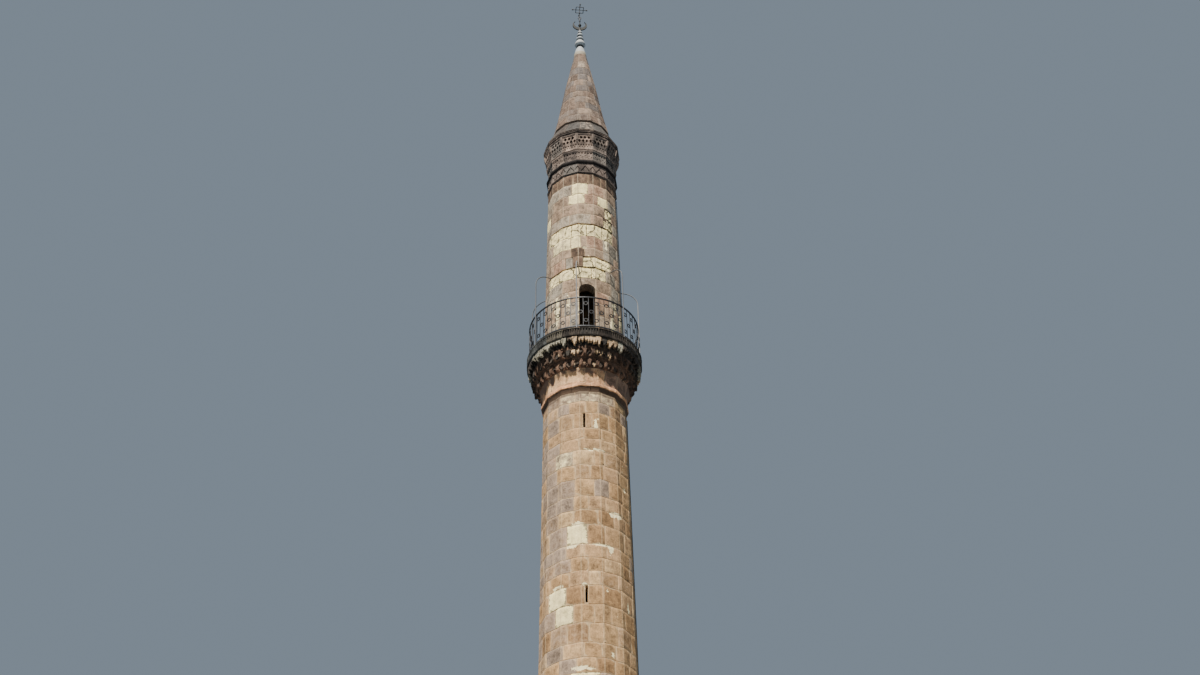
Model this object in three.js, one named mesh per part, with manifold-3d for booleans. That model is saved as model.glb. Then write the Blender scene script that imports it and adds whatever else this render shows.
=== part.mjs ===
// A stone minaret: square foot, tapered shoe, tall fourteen-sided shaft, corbelled balcony with an
// iron railing and seven stays, narrower upper shaft, carved crown, stone spire and iron finial.
// Millimetres, +Z up, origin at the middle of the foot's underside. The balcony doorway faces -Y.
import * as THREE from "three";
import { mergeVertices } from "three/addons/utils/BufferGeometryUtils.js";
import Module from "manifold-3d";

const wasm = await Module();
wasm.setup();

// Plan of the shaft
const SIDES = 14;
const FACET = (2 * Math.PI) / SIDES;
const FIRST_ARRIS = FACET / 2;
const STAIRWELL_R = 760;
const TURRET_WELL_R = 690;
const SEAT_GAP = 0.3;

// Levels, from the ground up
const FOOTING_TOP = 300;
const PEDESTAL_TOP = 4000;
const CORNICE_TOP = 4300;
const SHOE_TOP = 5900;
const BASE_RING_TOP = 6160;
const DRUM_JOINT = 15300;
const SHAFT_TOP = 24300;
const RING_TOP = 24500;
const NECK_TOP = 24930;
const LOW_TIER_TOP = 25190;
const MIDDLE_TIER_TOP = 25450;
const HIGH_TIER_TOP = 25690;
const FLOOR = 25930;
const DOOR_WALL_TOP = 28100;
const TURRET_TOP = 31700;
const FRIEZE_TOP = 32070;
const TORUS_TOP = 32210;
const CARVED_TOP = 32600;
const PIERCED_TOP = 33120;
const MOULDING_TOP = 33270;
const SKIRT_TOP = 33900;
const SPIRE_BELLY = 34640;
const SPIRE_WAIST = 35930;
const SOLID_ABOVE = 36200;
const SPIRE_TOP = 37500;
const CAP_TOP = 37930;
const BULBS_TOP = 38730;
const TERMINAL_FOOT = 39100;
const TERMINAL_LEVEL = 39680;
const TERMINAL_TIP = 39880;

// Radii to the arrises
const SHOE_HEAD_R = 1230;
const BASE_RING_R = 1290;
const SHAFT_FOOT_R = 1172;
const SHAFT_HEAD_R = 1003;
const TURRET_FOOT_R = 992;
const TURRET_HEAD_R = 912;
const COLLAR_R = 1062;
const NECK_FOOT_R = 1020;
const NECK_HEAD_R = 1110;
const LOW_TIER_R = 1200;
const MIDDLE_TIER_R = 1305;
const HIGH_TIER_R = 1400;
const BALCONY_R = 1430;
const SKIRT_R = 1060;
const SPIRE_FOOT_R = 775;
const SPIRE_BELLY_R = 650;
const SPIRE_WAIST_R = 456;
const SPIRE_HEAD_R = 176;

// Foot and its doorway
const PEDESTAL_HALF = 1650;
const ROOM_HALF = 850;
const FOOTING_HALF = 1730;
const CORNICE_HALF = 1790;
const SHOE_FOOT_HALF = 1620;
const SHOE_HEAD_HALF = 1260;
const FOOT_DOOR_HALF = 350;
const FOOT_DOOR_CROWN = 2250;

// Balcony doorway and light slits
const DOOR_HALF = 207;
const DOOR_CROWN = 27720;
const SLIT_WIDTH = 60;
const SLIT_HEIGHT = 420;
const SLIT_X = -120;
const SLIT_TOP_LEVEL = 23450;
const SLIT_SPACING = 4650;

// Railing and stays
const BAYS = 7;
const RAILING_R = 1365;
const RAILING_HEIGHT = 1000;
const BARS_PER_BAY = 10;
const FOOT_EVERY = 3;
const BAR = 12;
const RAIL = 28;
const BOTTOM_RAIL_LIFT = 60;
const STAY_R = 13;
const STAY_LEVEL = 28300;
const STAY_BEND = 370;

// Lightning conductor: a thin rod held off one side of the shaft
const CONDUCTOR_R = 8;
const CONDUCTOR_OFF_WALL = 40;
const CONDUCTOR_ALONG_SIDE = -150;
const BRACKET = 20;

// Niches of the corbel, two on each side of the plan
const NICHES = 28;

const COLOURS = {
  sandstone: 0xb09a86,
  tuff: 0x94857a,
  corbel: 0x584940,
  pale: 0xcdbba6,
  spire: 0x9a8c82,
  iron: 0x25262a,
  steel: 0x8e8b85,
  bronze: 0x4a3f36,
  lead: 0xb8bdb4,
};

function finish(colour, roughness = 0.9, metalness = 0) {
  return new THREE.MeshStandardMaterial({ color: colour, roughness, metalness });
}

// A closed three.js geometry as a solid that can be joined and cut
function toSolid(geometry) {
  const bare = geometry.clone();
  bare.deleteAttribute("normal");
  bare.deleteAttribute("uv");
  const merged = mergeVertices(bare, 1e-3);
  const corners = merged.index.array;
  const kept = [];
  for (let i = 0; i < corners.length; i += 3) {
    const [a, b, c] = [corners[i], corners[i + 1], corners[i + 2]];
    if (a !== b && b !== c && a !== c) kept.push(a, b, c);
  }
  const vertProperties = new Float32Array(merged.attributes.position.array);
  const triVerts = new Uint32Array(kept);
  return new wasm.Manifold(new wasm.Mesh({ numProp: 3, vertProperties, triVerts }));
}

// A cut or joined solid back as a geometry
function toGeometry(solid) {
  const made = solid.getMesh();
  const geometry = new THREE.BufferGeometry();
  geometry.setAttribute("position", new THREE.BufferAttribute(made.vertProperties, 3));
  geometry.setIndex(new THREE.BufferAttribute(made.triVerts, 1));
  geometry.computeVertexNormals();
  return geometry;
}

function joined(solids) {
  return solids.reduce((whole, next) => whole.add(next));
}

// A profile of [radius, height] points turned about +Z in flat sides. A hollow ring's profile
// comes back to its first point, and a solid one starts and ends on the axis.
function turned(profile, sides = SIDES, start = FIRST_ARRIS) {
  const points = profile.map(([r, z]) => new THREE.Vector2(r, z));
  const geometry = new THREE.LatheGeometry(points, sides, start);
  geometry.rotateX(Math.PI / 2);
  return toSolid(geometry);
}

// The space of a stairwell between two levels
function wellSpace(wellR, bottom, top) {
  return turned([[0, bottom], [wellR, bottom], [wellR, top], [0, top]]);
}

// A ring between two levels, with its own radii at the foot and the head
function ringWall(bottom, top, footR, headR, wellR) {
  return turned([[wellR, bottom], [footR, bottom], [headR, top], [wellR, top], [wellR, bottom]]);
}

function block([x0, x1], [y0, y1], [z0, z1]) {
  const geometry = new THREE.BoxGeometry(x1 - x0, y1 - y0, z1 - z0);
  geometry.translate((x0 + x1) / 2, (y0 + y1) / 2, (z0 + z1) / 2);
  return toSolid(geometry);
}

// A flat outline in X and Z, extruded along Y
function extrudedAlongY(shape, [y0, y1], curveSegments = 8) {
  const geometry = new THREE.ExtrudeGeometry(shape, { depth: y1 - y0, bevelEnabled: false, curveSegments });
  geometry.rotateX(Math.PI / 2);
  geometry.translate(0, y1, 0);
  return toSolid(geometry);
}

// A flat outline in X and Y, extruded upwards
function extrudedUp(shape, [z0, z1], curveSegments = 8) {
  const geometry = new THREE.ExtrudeGeometry(shape, { depth: z1 - z0, bevelEnabled: false, curveSegments });
  geometry.translate(0, 0, z0);
  return toSolid(geometry);
}

// The space of a round-headed doorway
function doorSpace(half, sill, crown, alongY) {
  const shape = new THREE.Shape();
  shape.moveTo(-half, sill);
  shape.lineTo(half, sill);
  shape.absarc(0, crown - half, half, 0, Math.PI, false);
  return extrudedAlongY(shape, alongY);
}

const WIDE = 3000;
const FAR_DOWN = -100;
const FAR_UP = 41000;
const frontHalf = block([-WIDE, WIDE], [-WIDE, 0], [FAR_DOWN, FAR_UP]);
const backHalf = block([-WIDE, WIDE], [0, WIDE], [FAR_DOWN, FAR_UP]);
const leftHalf = block([-WIDE, 0], [-WIDE, WIDE], [FAR_DOWN, FAR_UP]);
const rightHalf = block([0, WIDE], [-WIDE, WIDE], [FAR_DOWN, FAR_UP]);

const minaret = new THREE.Group();

function piece(name, solid, material) {
  const mesh = new THREE.Mesh(toGeometry(solid), material);
  mesh.name = name;
  minaret.add(mesh);
}

const sandstone = finish(COLOURS.sandstone);
const tuff = finish(COLOURS.tuff);
const corbelStone = finish(COLOURS.corbel);
const paleStone = finish(COLOURS.pale);
const spireStone = finish(COLOURS.spire);
const iron = finish(COLOURS.iron, 0.55, 0.8);
const steel = finish(COLOURS.steel, 0.55, 0.6);
const bronze = finish(COLOURS.bronze, 0.5, 0.8);
const lead = finish(COLOURS.lead, 0.6, 0.5);

// Foot: four thick walls round a small square room, open at a round-headed doorway
function addFoot() {
  const outer = PEDESTAL_HALF;
  const inner = ROOM_HALF;
  const walls = [FOOTING_TOP, PEDESTAL_TOP];
  const doorSpring = FOOT_DOOR_CROWN - FOOT_DOOR_HALF;
  const course = [-FOOTING_HALF, FOOTING_HALF];
  piece("footing_course", block(course, course, [0, FOOTING_TOP]), sandstone);
  piece("base_wall_back", block([-outer, outer], [inner, outer], walls), sandstone);
  piece("base_wall_left", block([-outer, -inner], [-inner, inner], walls), sandstone);
  piece("base_wall_right", block([inner, outer], [-inner, inner], walls), sandstone);
  piece("base_wall_front_left", block([-outer, -FOOT_DOOR_HALF], [-outer, -inner], walls), sandstone);
  piece("base_wall_front_right", block([FOOT_DOOR_HALF, outer], [-outer, -inner], walls), sandstone);
  const lintel = block([-FOOT_DOOR_HALF, FOOT_DOOR_HALF], [-outer, -inner], [doorSpring, PEDESTAL_TOP]);
  const footDoor = doorSpace(FOOT_DOOR_HALF, FOOTING_TOP, FOOT_DOOR_CROWN, [-WIDE, 0]);
  piece("base_wall_over_door", lintel.subtract(footDoor), sandstone);
}

// Cornice, tapered shoe and ring that carry the fourteen-sided shaft on the square foot
function addShoe() {
  const corner = Math.SQRT2;
  const square = Math.PI / 4;
  const well = wellSpace(STAIRWELL_R, PEDESTAL_TOP, SHOE_TOP);
  const cornice = turned(
    [
      [0, PEDESTAL_TOP],
      [PEDESTAL_HALF * corner, PEDESTAL_TOP],
      [CORNICE_HALF * corner, PEDESTAL_TOP + 130],
      [CORNICE_HALF * corner, CORNICE_TOP - 60],
      [SHOE_FOOT_HALF * corner, CORNICE_TOP],
      [0, CORNICE_TOP],
    ],
    4,
    square,
  );
  piece("base_cornice", cornice.subtract(well), sandstone);

  const footCorner = SHOE_FOOT_HALF * corner;
  const headCorner = SHOE_HEAD_HALF * corner;
  const clearOfCorners = footCorner / Math.cos(FACET / 2) + 10;
  const squareTaper = turned(
    [[0, CORNICE_TOP], [footCorner, CORNICE_TOP], [headCorner, SHOE_TOP], [0, SHOE_TOP]],
    4,
    square,
  );
  const roundTaper = turned([
    [0, CORNICE_TOP],
    [clearOfCorners, CORNICE_TOP],
    [SHOE_HEAD_R, SHOE_TOP],
    [0, SHOE_TOP],
  ]);
  piece("tapered_shoe", squareTaper.intersect(roundTaper).subtract(well), sandstone);

  const ring = [
    [STAIRWELL_R, SHOE_TOP],
    [SHOE_HEAD_R, SHOE_TOP],
    [BASE_RING_R, SHOE_TOP + 70],
    [BASE_RING_R, SHOE_TOP + 150],
    [SHAFT_FOOT_R + 20, BASE_RING_TOP],
    [STAIRWELL_R, BASE_RING_TOP],
    [STAIRWELL_R, SHOE_TOP],
  ];
  piece("base_ring", turned(ring), sandstone);
}

// The narrow light slits, one above the other in the front side and half a turn away in the back
function slitSpaces(sideways, level, count) {
  const spaces = [];
  const across = [SLIT_X - SLIT_WIDTH / 2, SLIT_X + SLIT_WIDTH / 2];
  for (let i = 0; i < count; i++) {
    const z = level - i * SLIT_SPACING;
    spaces.push(block(across, sideways, [z - SLIT_HEIGHT / 2, z + SLIT_HEIGHT / 2]));
  }
  return joined(spaces);
}

function shaftRadius(z) {
  const share = (z - BASE_RING_TOP) / (SHAFT_TOP - BASE_RING_TOP);
  return SHAFT_FOOT_R + (SHAFT_HEAD_R - SHAFT_FOOT_R) * share;
}

function addShaft() {
  const frontSlits = slitSpaces([-WIDE, 0], SLIT_TOP_LEVEL, 4);
  const backSlits = slitSpaces([0, WIDE], SLIT_TOP_LEVEL - SLIT_SPACING / 2, 3);
  const jointR = shaftRadius(DRUM_JOINT);
  const low = ringWall(BASE_RING_TOP, DRUM_JOINT, SHAFT_FOOT_R, jointR, STAIRWELL_R);
  const high = ringWall(DRUM_JOINT, SHAFT_TOP, jointR, SHAFT_HEAD_R, STAIRWELL_R);
  piece("lower_shaft_front", low.intersect(frontHalf).subtract(frontSlits), sandstone);
  piece("lower_shaft_back", low.intersect(backHalf).subtract(backSlits), sandstone);
  piece("upper_drum_front", high.intersect(frontHalf).subtract(frontSlits), sandstone);
  piece("upper_drum_back", high.intersect(backHalf).subtract(backSlits), sandstone);
}

// Ring moulding with a slanted underside, and the hollow neck that curves out to the corbel
function addCollar() {
  const ring = [
    [STAIRWELL_R, SHAFT_TOP],
    [SHAFT_HEAD_R, SHAFT_TOP],
    [COLLAR_R, SHAFT_TOP + 110],
    [COLLAR_R, RING_TOP - 30],
    [COLLAR_R - 30, RING_TOP],
    [STAIRWELL_R, RING_TOP],
    [STAIRWELL_R, SHAFT_TOP],
  ];
  piece("ring_moulding", turned(ring), tuff);

  const steps = 5;
  const neck = [[STAIRWELL_R, RING_TOP]];
  for (let i = 0; i <= steps; i++) {
    const t = i / steps;
    neck.push([NECK_FOOT_R + (NECK_HEAD_R - NECK_FOOT_R) * t * t, RING_TOP + (NECK_TOP - RING_TOP) * t]);
  }
  neck.push([STAIRWELL_R, NECK_TOP], [STAIRWELL_R, RING_TOP]);
  piece("hollow_neck", turned(neck), paleStone);
}

// One tier of the corbel: a ring whose rim is scooped into a row of niches
function nicheTier(tipR, depth, [bottom, top], offset) {
  const shape = new THREE.Shape();
  const pitch = (2 * Math.PI) / NICHES;
  const tipShare = 0.3;
  const arcSteps = 3;
  const rim = [];
  for (let n = 0; n < NICHES; n++) {
    const start = (n + offset) * pitch;
    for (let i = 0; i <= arcSteps; i++) {
      const t = i / arcSteps;
      const angle = start + pitch * (tipShare / 2 + (1 - tipShare) * t);
      const r = tipR - depth * Math.sin(Math.PI * t);
      rim.push(new THREE.Vector2(r * Math.cos(angle), r * Math.sin(angle)));
    }
  }
  shape.setFromPoints(rim);
  return extrudedUp(shape, [bottom, top]).subtract(wellSpace(STAIRWELL_R, bottom - 10, top + 10));
}

function addCorbel() {
  const low = [NECK_TOP, LOW_TIER_TOP];
  const middle = [LOW_TIER_TOP, MIDDLE_TIER_TOP];
  const high = [MIDDLE_TIER_TOP, HIGH_TIER_TOP];
  piece("corbel_tier_low", nicheTier(LOW_TIER_R, 55, low, 0), corbelStone);
  piece("corbel_tier_middle", nicheTier(MIDDLE_TIER_R, 70, middle, 0.5), corbelStone);
  piece("corbel_tier_high", nicheTier(HIGH_TIER_R, 75, high, 0), corbelStone);
}

// Round balcony floor with a moulded edge. Inside the shaft it is the landing at the doorway,
// and behind the landing the stairwell stays open.
function addBalconyFloor() {
  const roundSides = 42;
  const slab = turned(
    [
      [0, HIGH_TIER_TOP],
      [BALCONY_R - 20, HIGH_TIER_TOP],
      [BALCONY_R, HIGH_TIER_TOP + 30],
      [BALCONY_R, FLOOR - 40],
      [BALCONY_R - 15, FLOOR],
      [0, FLOOR],
    ],
    roundSides,
    0,
  );
  const well = wellSpace(TURRET_WELL_R, HIGH_TIER_TOP - 10, FLOOR + 10);
  piece("balcony_slab", slab.subtract(well.intersect(backHalf)), tuff);
}

// The railing's bays: two curved rails with upright bars between them, some of which reach the floor
function addRailing() {
  const bayAngle = (2 * Math.PI) / BAYS;
  const endClearance = 0.004;
  const endBarInset = 0.014;
  const arcSteps = 6;
  for (let bay = 0; bay < BAYS; bay++) {
    const start = -Math.PI / 2 - FIRST_ARRIS + bay * bayAngle;
    const from = start + endClearance;
    const to = start + bayAngle - endClearance;
    const arc = new THREE.Shape();
    arc.absarc(0, 0, RAILING_R + RAIL / 2, from, to, false);
    arc.absarc(0, 0, RAILING_R - RAIL / 2, to, from, true);
    const topRail = [FLOOR + RAILING_HEIGHT - RAIL, FLOOR + RAILING_HEIGHT];
    const bottomRail = [FLOOR + BOTTOM_RAIL_LIFT, FLOOR + BOTTOM_RAIL_LIFT + RAIL];
    const solids = [extrudedUp(arc, topRail, arcSteps), extrudedUp(arc, bottomRail, arcSteps)];
    for (let i = 0; i < BARS_PER_BAY; i++) {
      const angle = from + endBarInset + (i / (BARS_PER_BAY - 1)) * (to - from - 2 * endBarInset);
      const isFoot = i % FOOT_EVERY === 0;
      const foot = isFoot ? FLOOR : FLOOR + BOTTOM_RAIL_LIFT + RAIL / 2;
      const height = FLOOR + RAILING_HEIGHT - RAIL / 2 - foot;
      const bar = new THREE.BoxGeometry(BAR, BAR, height);
      bar.translate(RAILING_R - 2, 0, foot + height / 2);
      bar.rotateZ(angle);
      solids.push(toSolid(bar));
    }
    piece(`railing_${bay + 1}`, joined(solids), iron);
  }
}

function turretRadius(z) {
  const share = (z - FLOOR) / (TURRET_TOP - FLOOR);
  return TURRET_FOOT_R + (TURRET_HEAD_R - TURRET_FOOT_R) * share;
}

// The middle line of a stay: straight leg, quarter bend, level arm. Its parameter runs by
// stations, so that the straight lengths take one step each.
class StayLine extends THREE.Curve {
  constructor(at, legR, wallR, bendSteps) {
    super();
    this.leg = new THREE.LineCurve3(at(legR, FLOOR + SEAT_GAP), at(legR, STAY_LEVEL - STAY_BEND));
    this.arm = new THREE.LineCurve3(at(legR - STAY_BEND, STAY_LEVEL), at(wallR, STAY_LEVEL));
    this.at = at;
    this.legR = legR;
    this.stations = bendSteps + 2;
  }

  getUtoTmapping(u) {
    return u;
  }

  getPoint(t) {
    const station = t * this.stations;
    if (station <= 1) return this.leg.getPoint(station);
    if (station >= this.stations - 1) return this.arm.getPoint(station - this.stations + 1);
    const turn = ((station - 1) / (this.stations - 2)) * (Math.PI / 2);
    const r = this.legR - STAY_BEND * (1 - Math.cos(turn));
    return this.at(r, STAY_LEVEL - STAY_BEND * (1 - Math.sin(turn)));
  }
}

// Seven round stays that stand on the floor's edge, outside the railing, and bend in to the upper shaft
function addStays() {
  const clearOfRail = 7;
  const legR = RAILING_R + RAIL / 2 + clearOfRail + STAY_R;
  const wallR = turretRadius(STAY_LEVEL - STAY_R) + SEAT_GAP;
  const bendSteps = 6;
  const section = new THREE.Shape();
  section.absarc(0, 0, STAY_R, 0, 2 * Math.PI, false);
  for (let i = 0; i < BAYS; i++) {
    const angle = -Math.PI / 2 - FIRST_ARRIS + (i * 2 * Math.PI) / BAYS;
    const at = (r, z) => new THREE.Vector3(r * Math.cos(angle), r * Math.sin(angle), z);
    const tube = new THREE.ExtrudeGeometry(section, {
      steps: bendSteps + 2,
      curveSegments: 4,
      bevelEnabled: false,
      extrudePath: new StayLine(at, legR, wallR, bendSteps),
    });
    piece(`stay_${i + 1}`, toSolid(tube), steel);
  }
}

// Upper shaft, split beside and over the balcony doorway
function addTurret() {
  const doorSpring = DOOR_CROWN - DOOR_HALF;
  const jointR = turretRadius(DOOR_WALL_TOP);
  const doorWall = ringWall(FLOOR, DOOR_WALL_TOP, TURRET_FOOT_R, jointR, TURRET_WELL_R);
  const doorStrip = block([-DOOR_HALF, DOOR_HALF], [-WIDE, 0], [FLOOR - 10, DOOR_WALL_TOP + 10]);
  const beside = doorWall.subtract(doorStrip);
  piece("door_wall_left", beside.intersect(leftHalf), tuff);
  piece("door_wall_right", beside.intersect(rightHalf), tuff);
  const headRoom = block([-DOOR_HALF, DOOR_HALF], [-WIDE, 0], [doorSpring, DOOR_WALL_TOP + 10]);
  const doorway = doorSpace(DOOR_HALF, FLOOR, DOOR_CROWN, [-WIDE, 0]);
  piece("door_head", doorWall.intersect(headRoom).subtract(doorway), tuff);

  const above = ringWall(DOOR_WALL_TOP, TURRET_TOP, jointR, TURRET_HEAD_R, TURRET_WELL_R);
  piece("turret_front", above.intersect(frontHalf), tuff);
  piece("turret_back", above.intersect(backHalf), tuff);
}

// A moulded ring of the crown: its outer outline, closed down the inside of the well
function crownRing(outline) {
  const bottom = outline[0][1];
  const top = outline[outline.length - 1][1];
  return turned([[TURRET_WELL_R, bottom], ...outline, [TURRET_WELL_R, top], [TURRET_WELL_R, bottom]]);
}

// The crown's outlines, each with its radii and levels from the foot of the ring to its head
function addCrown() {
  const torusMiddle = (FRIEZE_TOP + TORUS_TOP) / 2;
  const outlines = {
    arch_frieze: [[935, TURRET_TOP], [935, TURRET_TOP + 30], [920, TURRET_TOP + 45], [925, FRIEZE_TOP]],
    torus_ring: [
      [928, FRIEZE_TOP],
      [962, torusMiddle - 35],
      [970, torusMiddle],
      [962, torusMiddle + 35],
      [935, TORUS_TOP],
    ],
    carved_band: [[940, TORUS_TOP], [950, CARVED_TOP - 30], [925, CARVED_TOP]],
    pierced_frieze: [
      [955, CARVED_TOP],
      [965, CARVED_TOP + 160],
      [1005, CARVED_TOP + 300],
      [1020, PIERCED_TOP],
    ],
    crown_moulding: [[1030, PIERCED_TOP], [1050, PIERCED_TOP + 60], [SKIRT_R, MOULDING_TOP]],
  };
  for (const [name, outline] of Object.entries(outlines)) {
    piece(name, crownRing(outline), tuff);
  }
}

// Hollow stone roof: a flared skirt, then the tall pointed spire with a slight belly
function addSpire() {
  const wall = 150;
  const skirt = [
    [TURRET_WELL_R, MOULDING_TOP],
    [SKIRT_R - 10, MOULDING_TOP],
    [SKIRT_R - 10, MOULDING_TOP + 40],
    [SPIRE_FOOT_R + 15, SKIRT_TOP],
    [SPIRE_FOOT_R - wall, SKIRT_TOP],
    [TURRET_WELL_R, MOULDING_TOP],
  ];
  piece("spire_skirt", turned(skirt), spireStone);
  const spire = [
    [0, SOLID_ABOVE],
    [SPIRE_FOOT_R - wall, SKIRT_TOP],
    [SPIRE_FOOT_R, SKIRT_TOP],
    [SPIRE_BELLY_R, SPIRE_BELLY],
    [SPIRE_WAIST_R, SPIRE_WAIST],
    [SPIRE_HEAD_R, SPIRE_TOP],
    [0, SPIRE_TOP],
  ];
  piece("spire", turned(spire), spireStone);
}

// A straight round bar between two points
function bar(from, to, radius, sides = 6) {
  const run = new THREE.Vector3().subVectors(to, from);
  const geometry = new THREE.CylinderGeometry(radius, radius, run.length(), sides);
  geometry.translate(0, run.length() / 2, 0);
  const turn = new THREE.Quaternion().setFromUnitVectors(new THREE.Vector3(0, 1, 0), run.clone().normalize());
  geometry.applyQuaternion(turn);
  geometry.translate(from.x, from.y, from.z);
  return toSolid(geometry);
}

// Metal finial: a bell cap over the spire's tip, and bulbs and rings on one spindle
function addFinial() {
  const roundSides = 12;
  const cap = [
    [0, SPIRE_TOP],
    [SPIRE_HEAD_R + 4, SPIRE_TOP],
    [150, SPIRE_TOP + 150],
    [115, SPIRE_TOP + 330],
    [60, CAP_TOP],
    [0, CAP_TOP],
  ];
  const bulbs = [
    [0, CAP_TOP],
    [55, CAP_TOP],
    [150, CAP_TOP + 70],
    [158, CAP_TOP + 130],
    [120, CAP_TOP + 240],
    [68, CAP_TOP + 300],
    [112, CAP_TOP + 340],
    [80, CAP_TOP + 400],
    [55, CAP_TOP + 460],
    [92, CAP_TOP + 530],
    [60, CAP_TOP + 600],
    [66, CAP_TOP + 670],
    [36, CAP_TOP + 730],
    [36, BULBS_TOP],
    [0, BULBS_TOP],
  ];
  piece("finial_cap", turned(cap, roundSides, 0), lead);
  piece("finial_bulbs", turned(bulbs, roundSides, 0), lead);
}

// Crescent with its horns up. The stem that stands in it carries the lightning terminal.
function addCrescent() {
  const outerR = 215;
  const hornAngle = 0.28 * Math.PI;
  const innerLift = 62;
  const thickness = 36;
  const middle = BULBS_TOP + outerR;
  const hornX = outerR * Math.cos(hornAngle);
  const hornZ = outerR * Math.sin(hornAngle) - innerLift;
  const innerR = Math.hypot(hornX, hornZ);
  const innerAngle = Math.atan2(hornZ, hornX);
  const moon = new THREE.Shape();
  moon.absarc(0, middle, outerR, Math.PI - hornAngle, hornAngle, false);
  moon.absarc(0, middle + innerLift, innerR, innerAngle, Math.PI - innerAngle, true);
  const stem = turned(
    [
      [0, BULBS_TOP],
      [30, BULBS_TOP],
      [26, BULBS_TOP + 110],
      [14, BULBS_TOP + 130],
      [50, BULBS_TOP + 220],
      [14, BULBS_TOP + 300],
      [14, TERMINAL_FOOT],
      [0, TERMINAL_FOOT],
    ],
    8,
    0,
  );
  piece("crescent", extrudedAlongY(moon, [-thickness / 2, thickness / 2], 12).add(stem), bronze);
}

// Iron lightning terminal: bead, eye and rod, with a square frame and four level arms
function addTerminal() {
  const eyeLevel = TERMINAL_FOOT + 190;
  const eyeR = 45;
  const rodR = 11;
  const frameHalf = 112;
  const armReach = 212;
  const knobR = 22;
  const beadR = 30;
  const beadTop = eyeLevel - eyeR;
  const at = (x, y, z) => new THREE.Vector3(x, y, z);
  const eye = new THREE.Shape();
  eye.absarc(0, eyeLevel, eyeR + rodR, 0, 2 * Math.PI, false);
  const hole = new THREE.Path();
  hole.absarc(0, eyeLevel, eyeR - rodR, 0, 2 * Math.PI, true);
  eye.holes.push(hole);
  const bead = [
    [0, TERMINAL_FOOT],
    [14, TERMINAL_FOOT],
    [beadR, TERMINAL_FOOT + 60],
    [10, beadTop],
    [0, beadTop],
  ];
  const solids = [
    turned(bead, 8, 0),
    extrudedAlongY(eye, [-rodR, rodR], 5),
    bar(at(0, 0, eyeLevel + eyeR), at(0, 0, TERMINAL_TIP), rodR),
  ];
  for (const [x, y] of [[1, 0], [0, 1], [-1, 0], [0, -1]]) {
    const along = (reach) => at(reach * x, reach * y, TERMINAL_LEVEL);
    solids.push(bar(along(0), along(armReach), rodR - 1));
    solids.push(bar(along(armReach - knobR), along(armReach + knobR), knobR));
    const cornerA = at(frameHalf * (x - y), frameHalf * (y + x), TERMINAL_LEVEL);
    const cornerB = at(frameHalf * (x + y), frameHalf * (y - x), TERMINAL_LEVEL);
    solids.push(bar(cornerA, cornerB, rodR));
  }
  piece("lightning_terminal", joined(solids), iron);
}

// A thin rod that follows the taper of one side of the wall, with brackets that hold it off
function conductor([bottom, top], radiusAt, bracketLevels) {
  const sideMiddle = FACET / 2;
  const wallAt = (z) => radiusAt(z) * Math.cos(FACET / 2);
  const along = CONDUCTOR_ALONG_SIDE;
  const rodAt = (z) => new THREE.Vector3(wallAt(z) + CONDUCTOR_OFF_WALL, along, z);
  const solids = [bar(rodAt(bottom), rodAt(top), CONDUCTOR_R)];
  for (const z of bracketLevels) {
    const foot = wallAt(z - BRACKET / 2) + SEAT_GAP;
    const outwards = [foot, wallAt(z) + CONDUCTOR_OFF_WALL];
    const sideways = [along - BRACKET / 2, along + BRACKET / 2];
    solids.push(block(outwards, sideways, [z - BRACKET / 2, z + BRACKET / 2]));
  }
  return joined(solids).rotate([0, 0, (sideMiddle * 180) / Math.PI]);
}

function spread(first, last, count) {
  return Array.from({ length: count }, (_, i) => first + ((last - first) * i) / (count - 1));
}

function addConductors() {
  const endGap = 20;
  const fromEnd = 250;
  const low = [BASE_RING_TOP + endGap, SHAFT_TOP - endGap];
  const high = [FLOOR + endGap, TURRET_TOP - endGap];
  const lowBrackets = spread(low[0] + fromEnd, low[1] - fromEnd, 8);
  const highBrackets = spread(high[0] + fromEnd, high[1] - fromEnd, 4);
  piece("conductor_low", conductor(low, shaftRadius, lowBrackets), iron);
  piece("conductor_high", conductor(high, turretRadius, highBrackets), iron);
}

addFoot();
addShoe();
addShaft();
addCollar();
addCorbel();
addBalconyFloor();
addRailing();
addStays();
addTurret();
addCrown();
addSpire();
addFinial();
addCrescent();
addTerminal();
addConductors();

export default minaret;
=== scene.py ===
# The looks of a stone minaret: coursed ashlar on a fourteen-sided shaft, a soot-dark niched corbel
# under the balcony, an iron railing with its stays, a carved crown, a stone spire and a finial.
# Metres, +Z up, origin at the middle of the foot. The balcony doorway faces -Y.
import math
import random

import bpy
import numpy as np
from mathutils import Matrix, Vector


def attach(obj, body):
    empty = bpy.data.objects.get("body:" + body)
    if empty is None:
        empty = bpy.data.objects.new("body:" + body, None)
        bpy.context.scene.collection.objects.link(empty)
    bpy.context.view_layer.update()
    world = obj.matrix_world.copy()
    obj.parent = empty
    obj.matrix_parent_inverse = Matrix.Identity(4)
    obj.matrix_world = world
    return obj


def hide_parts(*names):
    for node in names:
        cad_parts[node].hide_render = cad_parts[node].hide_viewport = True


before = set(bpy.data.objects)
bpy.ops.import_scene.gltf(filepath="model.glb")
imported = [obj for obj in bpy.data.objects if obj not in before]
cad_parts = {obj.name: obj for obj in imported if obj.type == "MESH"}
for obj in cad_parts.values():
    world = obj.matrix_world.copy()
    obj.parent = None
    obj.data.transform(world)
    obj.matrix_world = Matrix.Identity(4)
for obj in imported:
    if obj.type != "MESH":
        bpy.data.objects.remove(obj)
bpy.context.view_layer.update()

# Plan of the shaft. Places round a wall are given in sides, counted from the middle of the
# doorway's side towards +X, so that an arris lies at every half number.
SIDES = 14
# About how wide a side is, in metres, for crumbled spots and for the least width of a cut stone
SIDE_WIDTH = 0.46
NARROW_SIDE = 0.45
HALF_SIDE = math.pi / SIDES
SQUARE = 4

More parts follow.
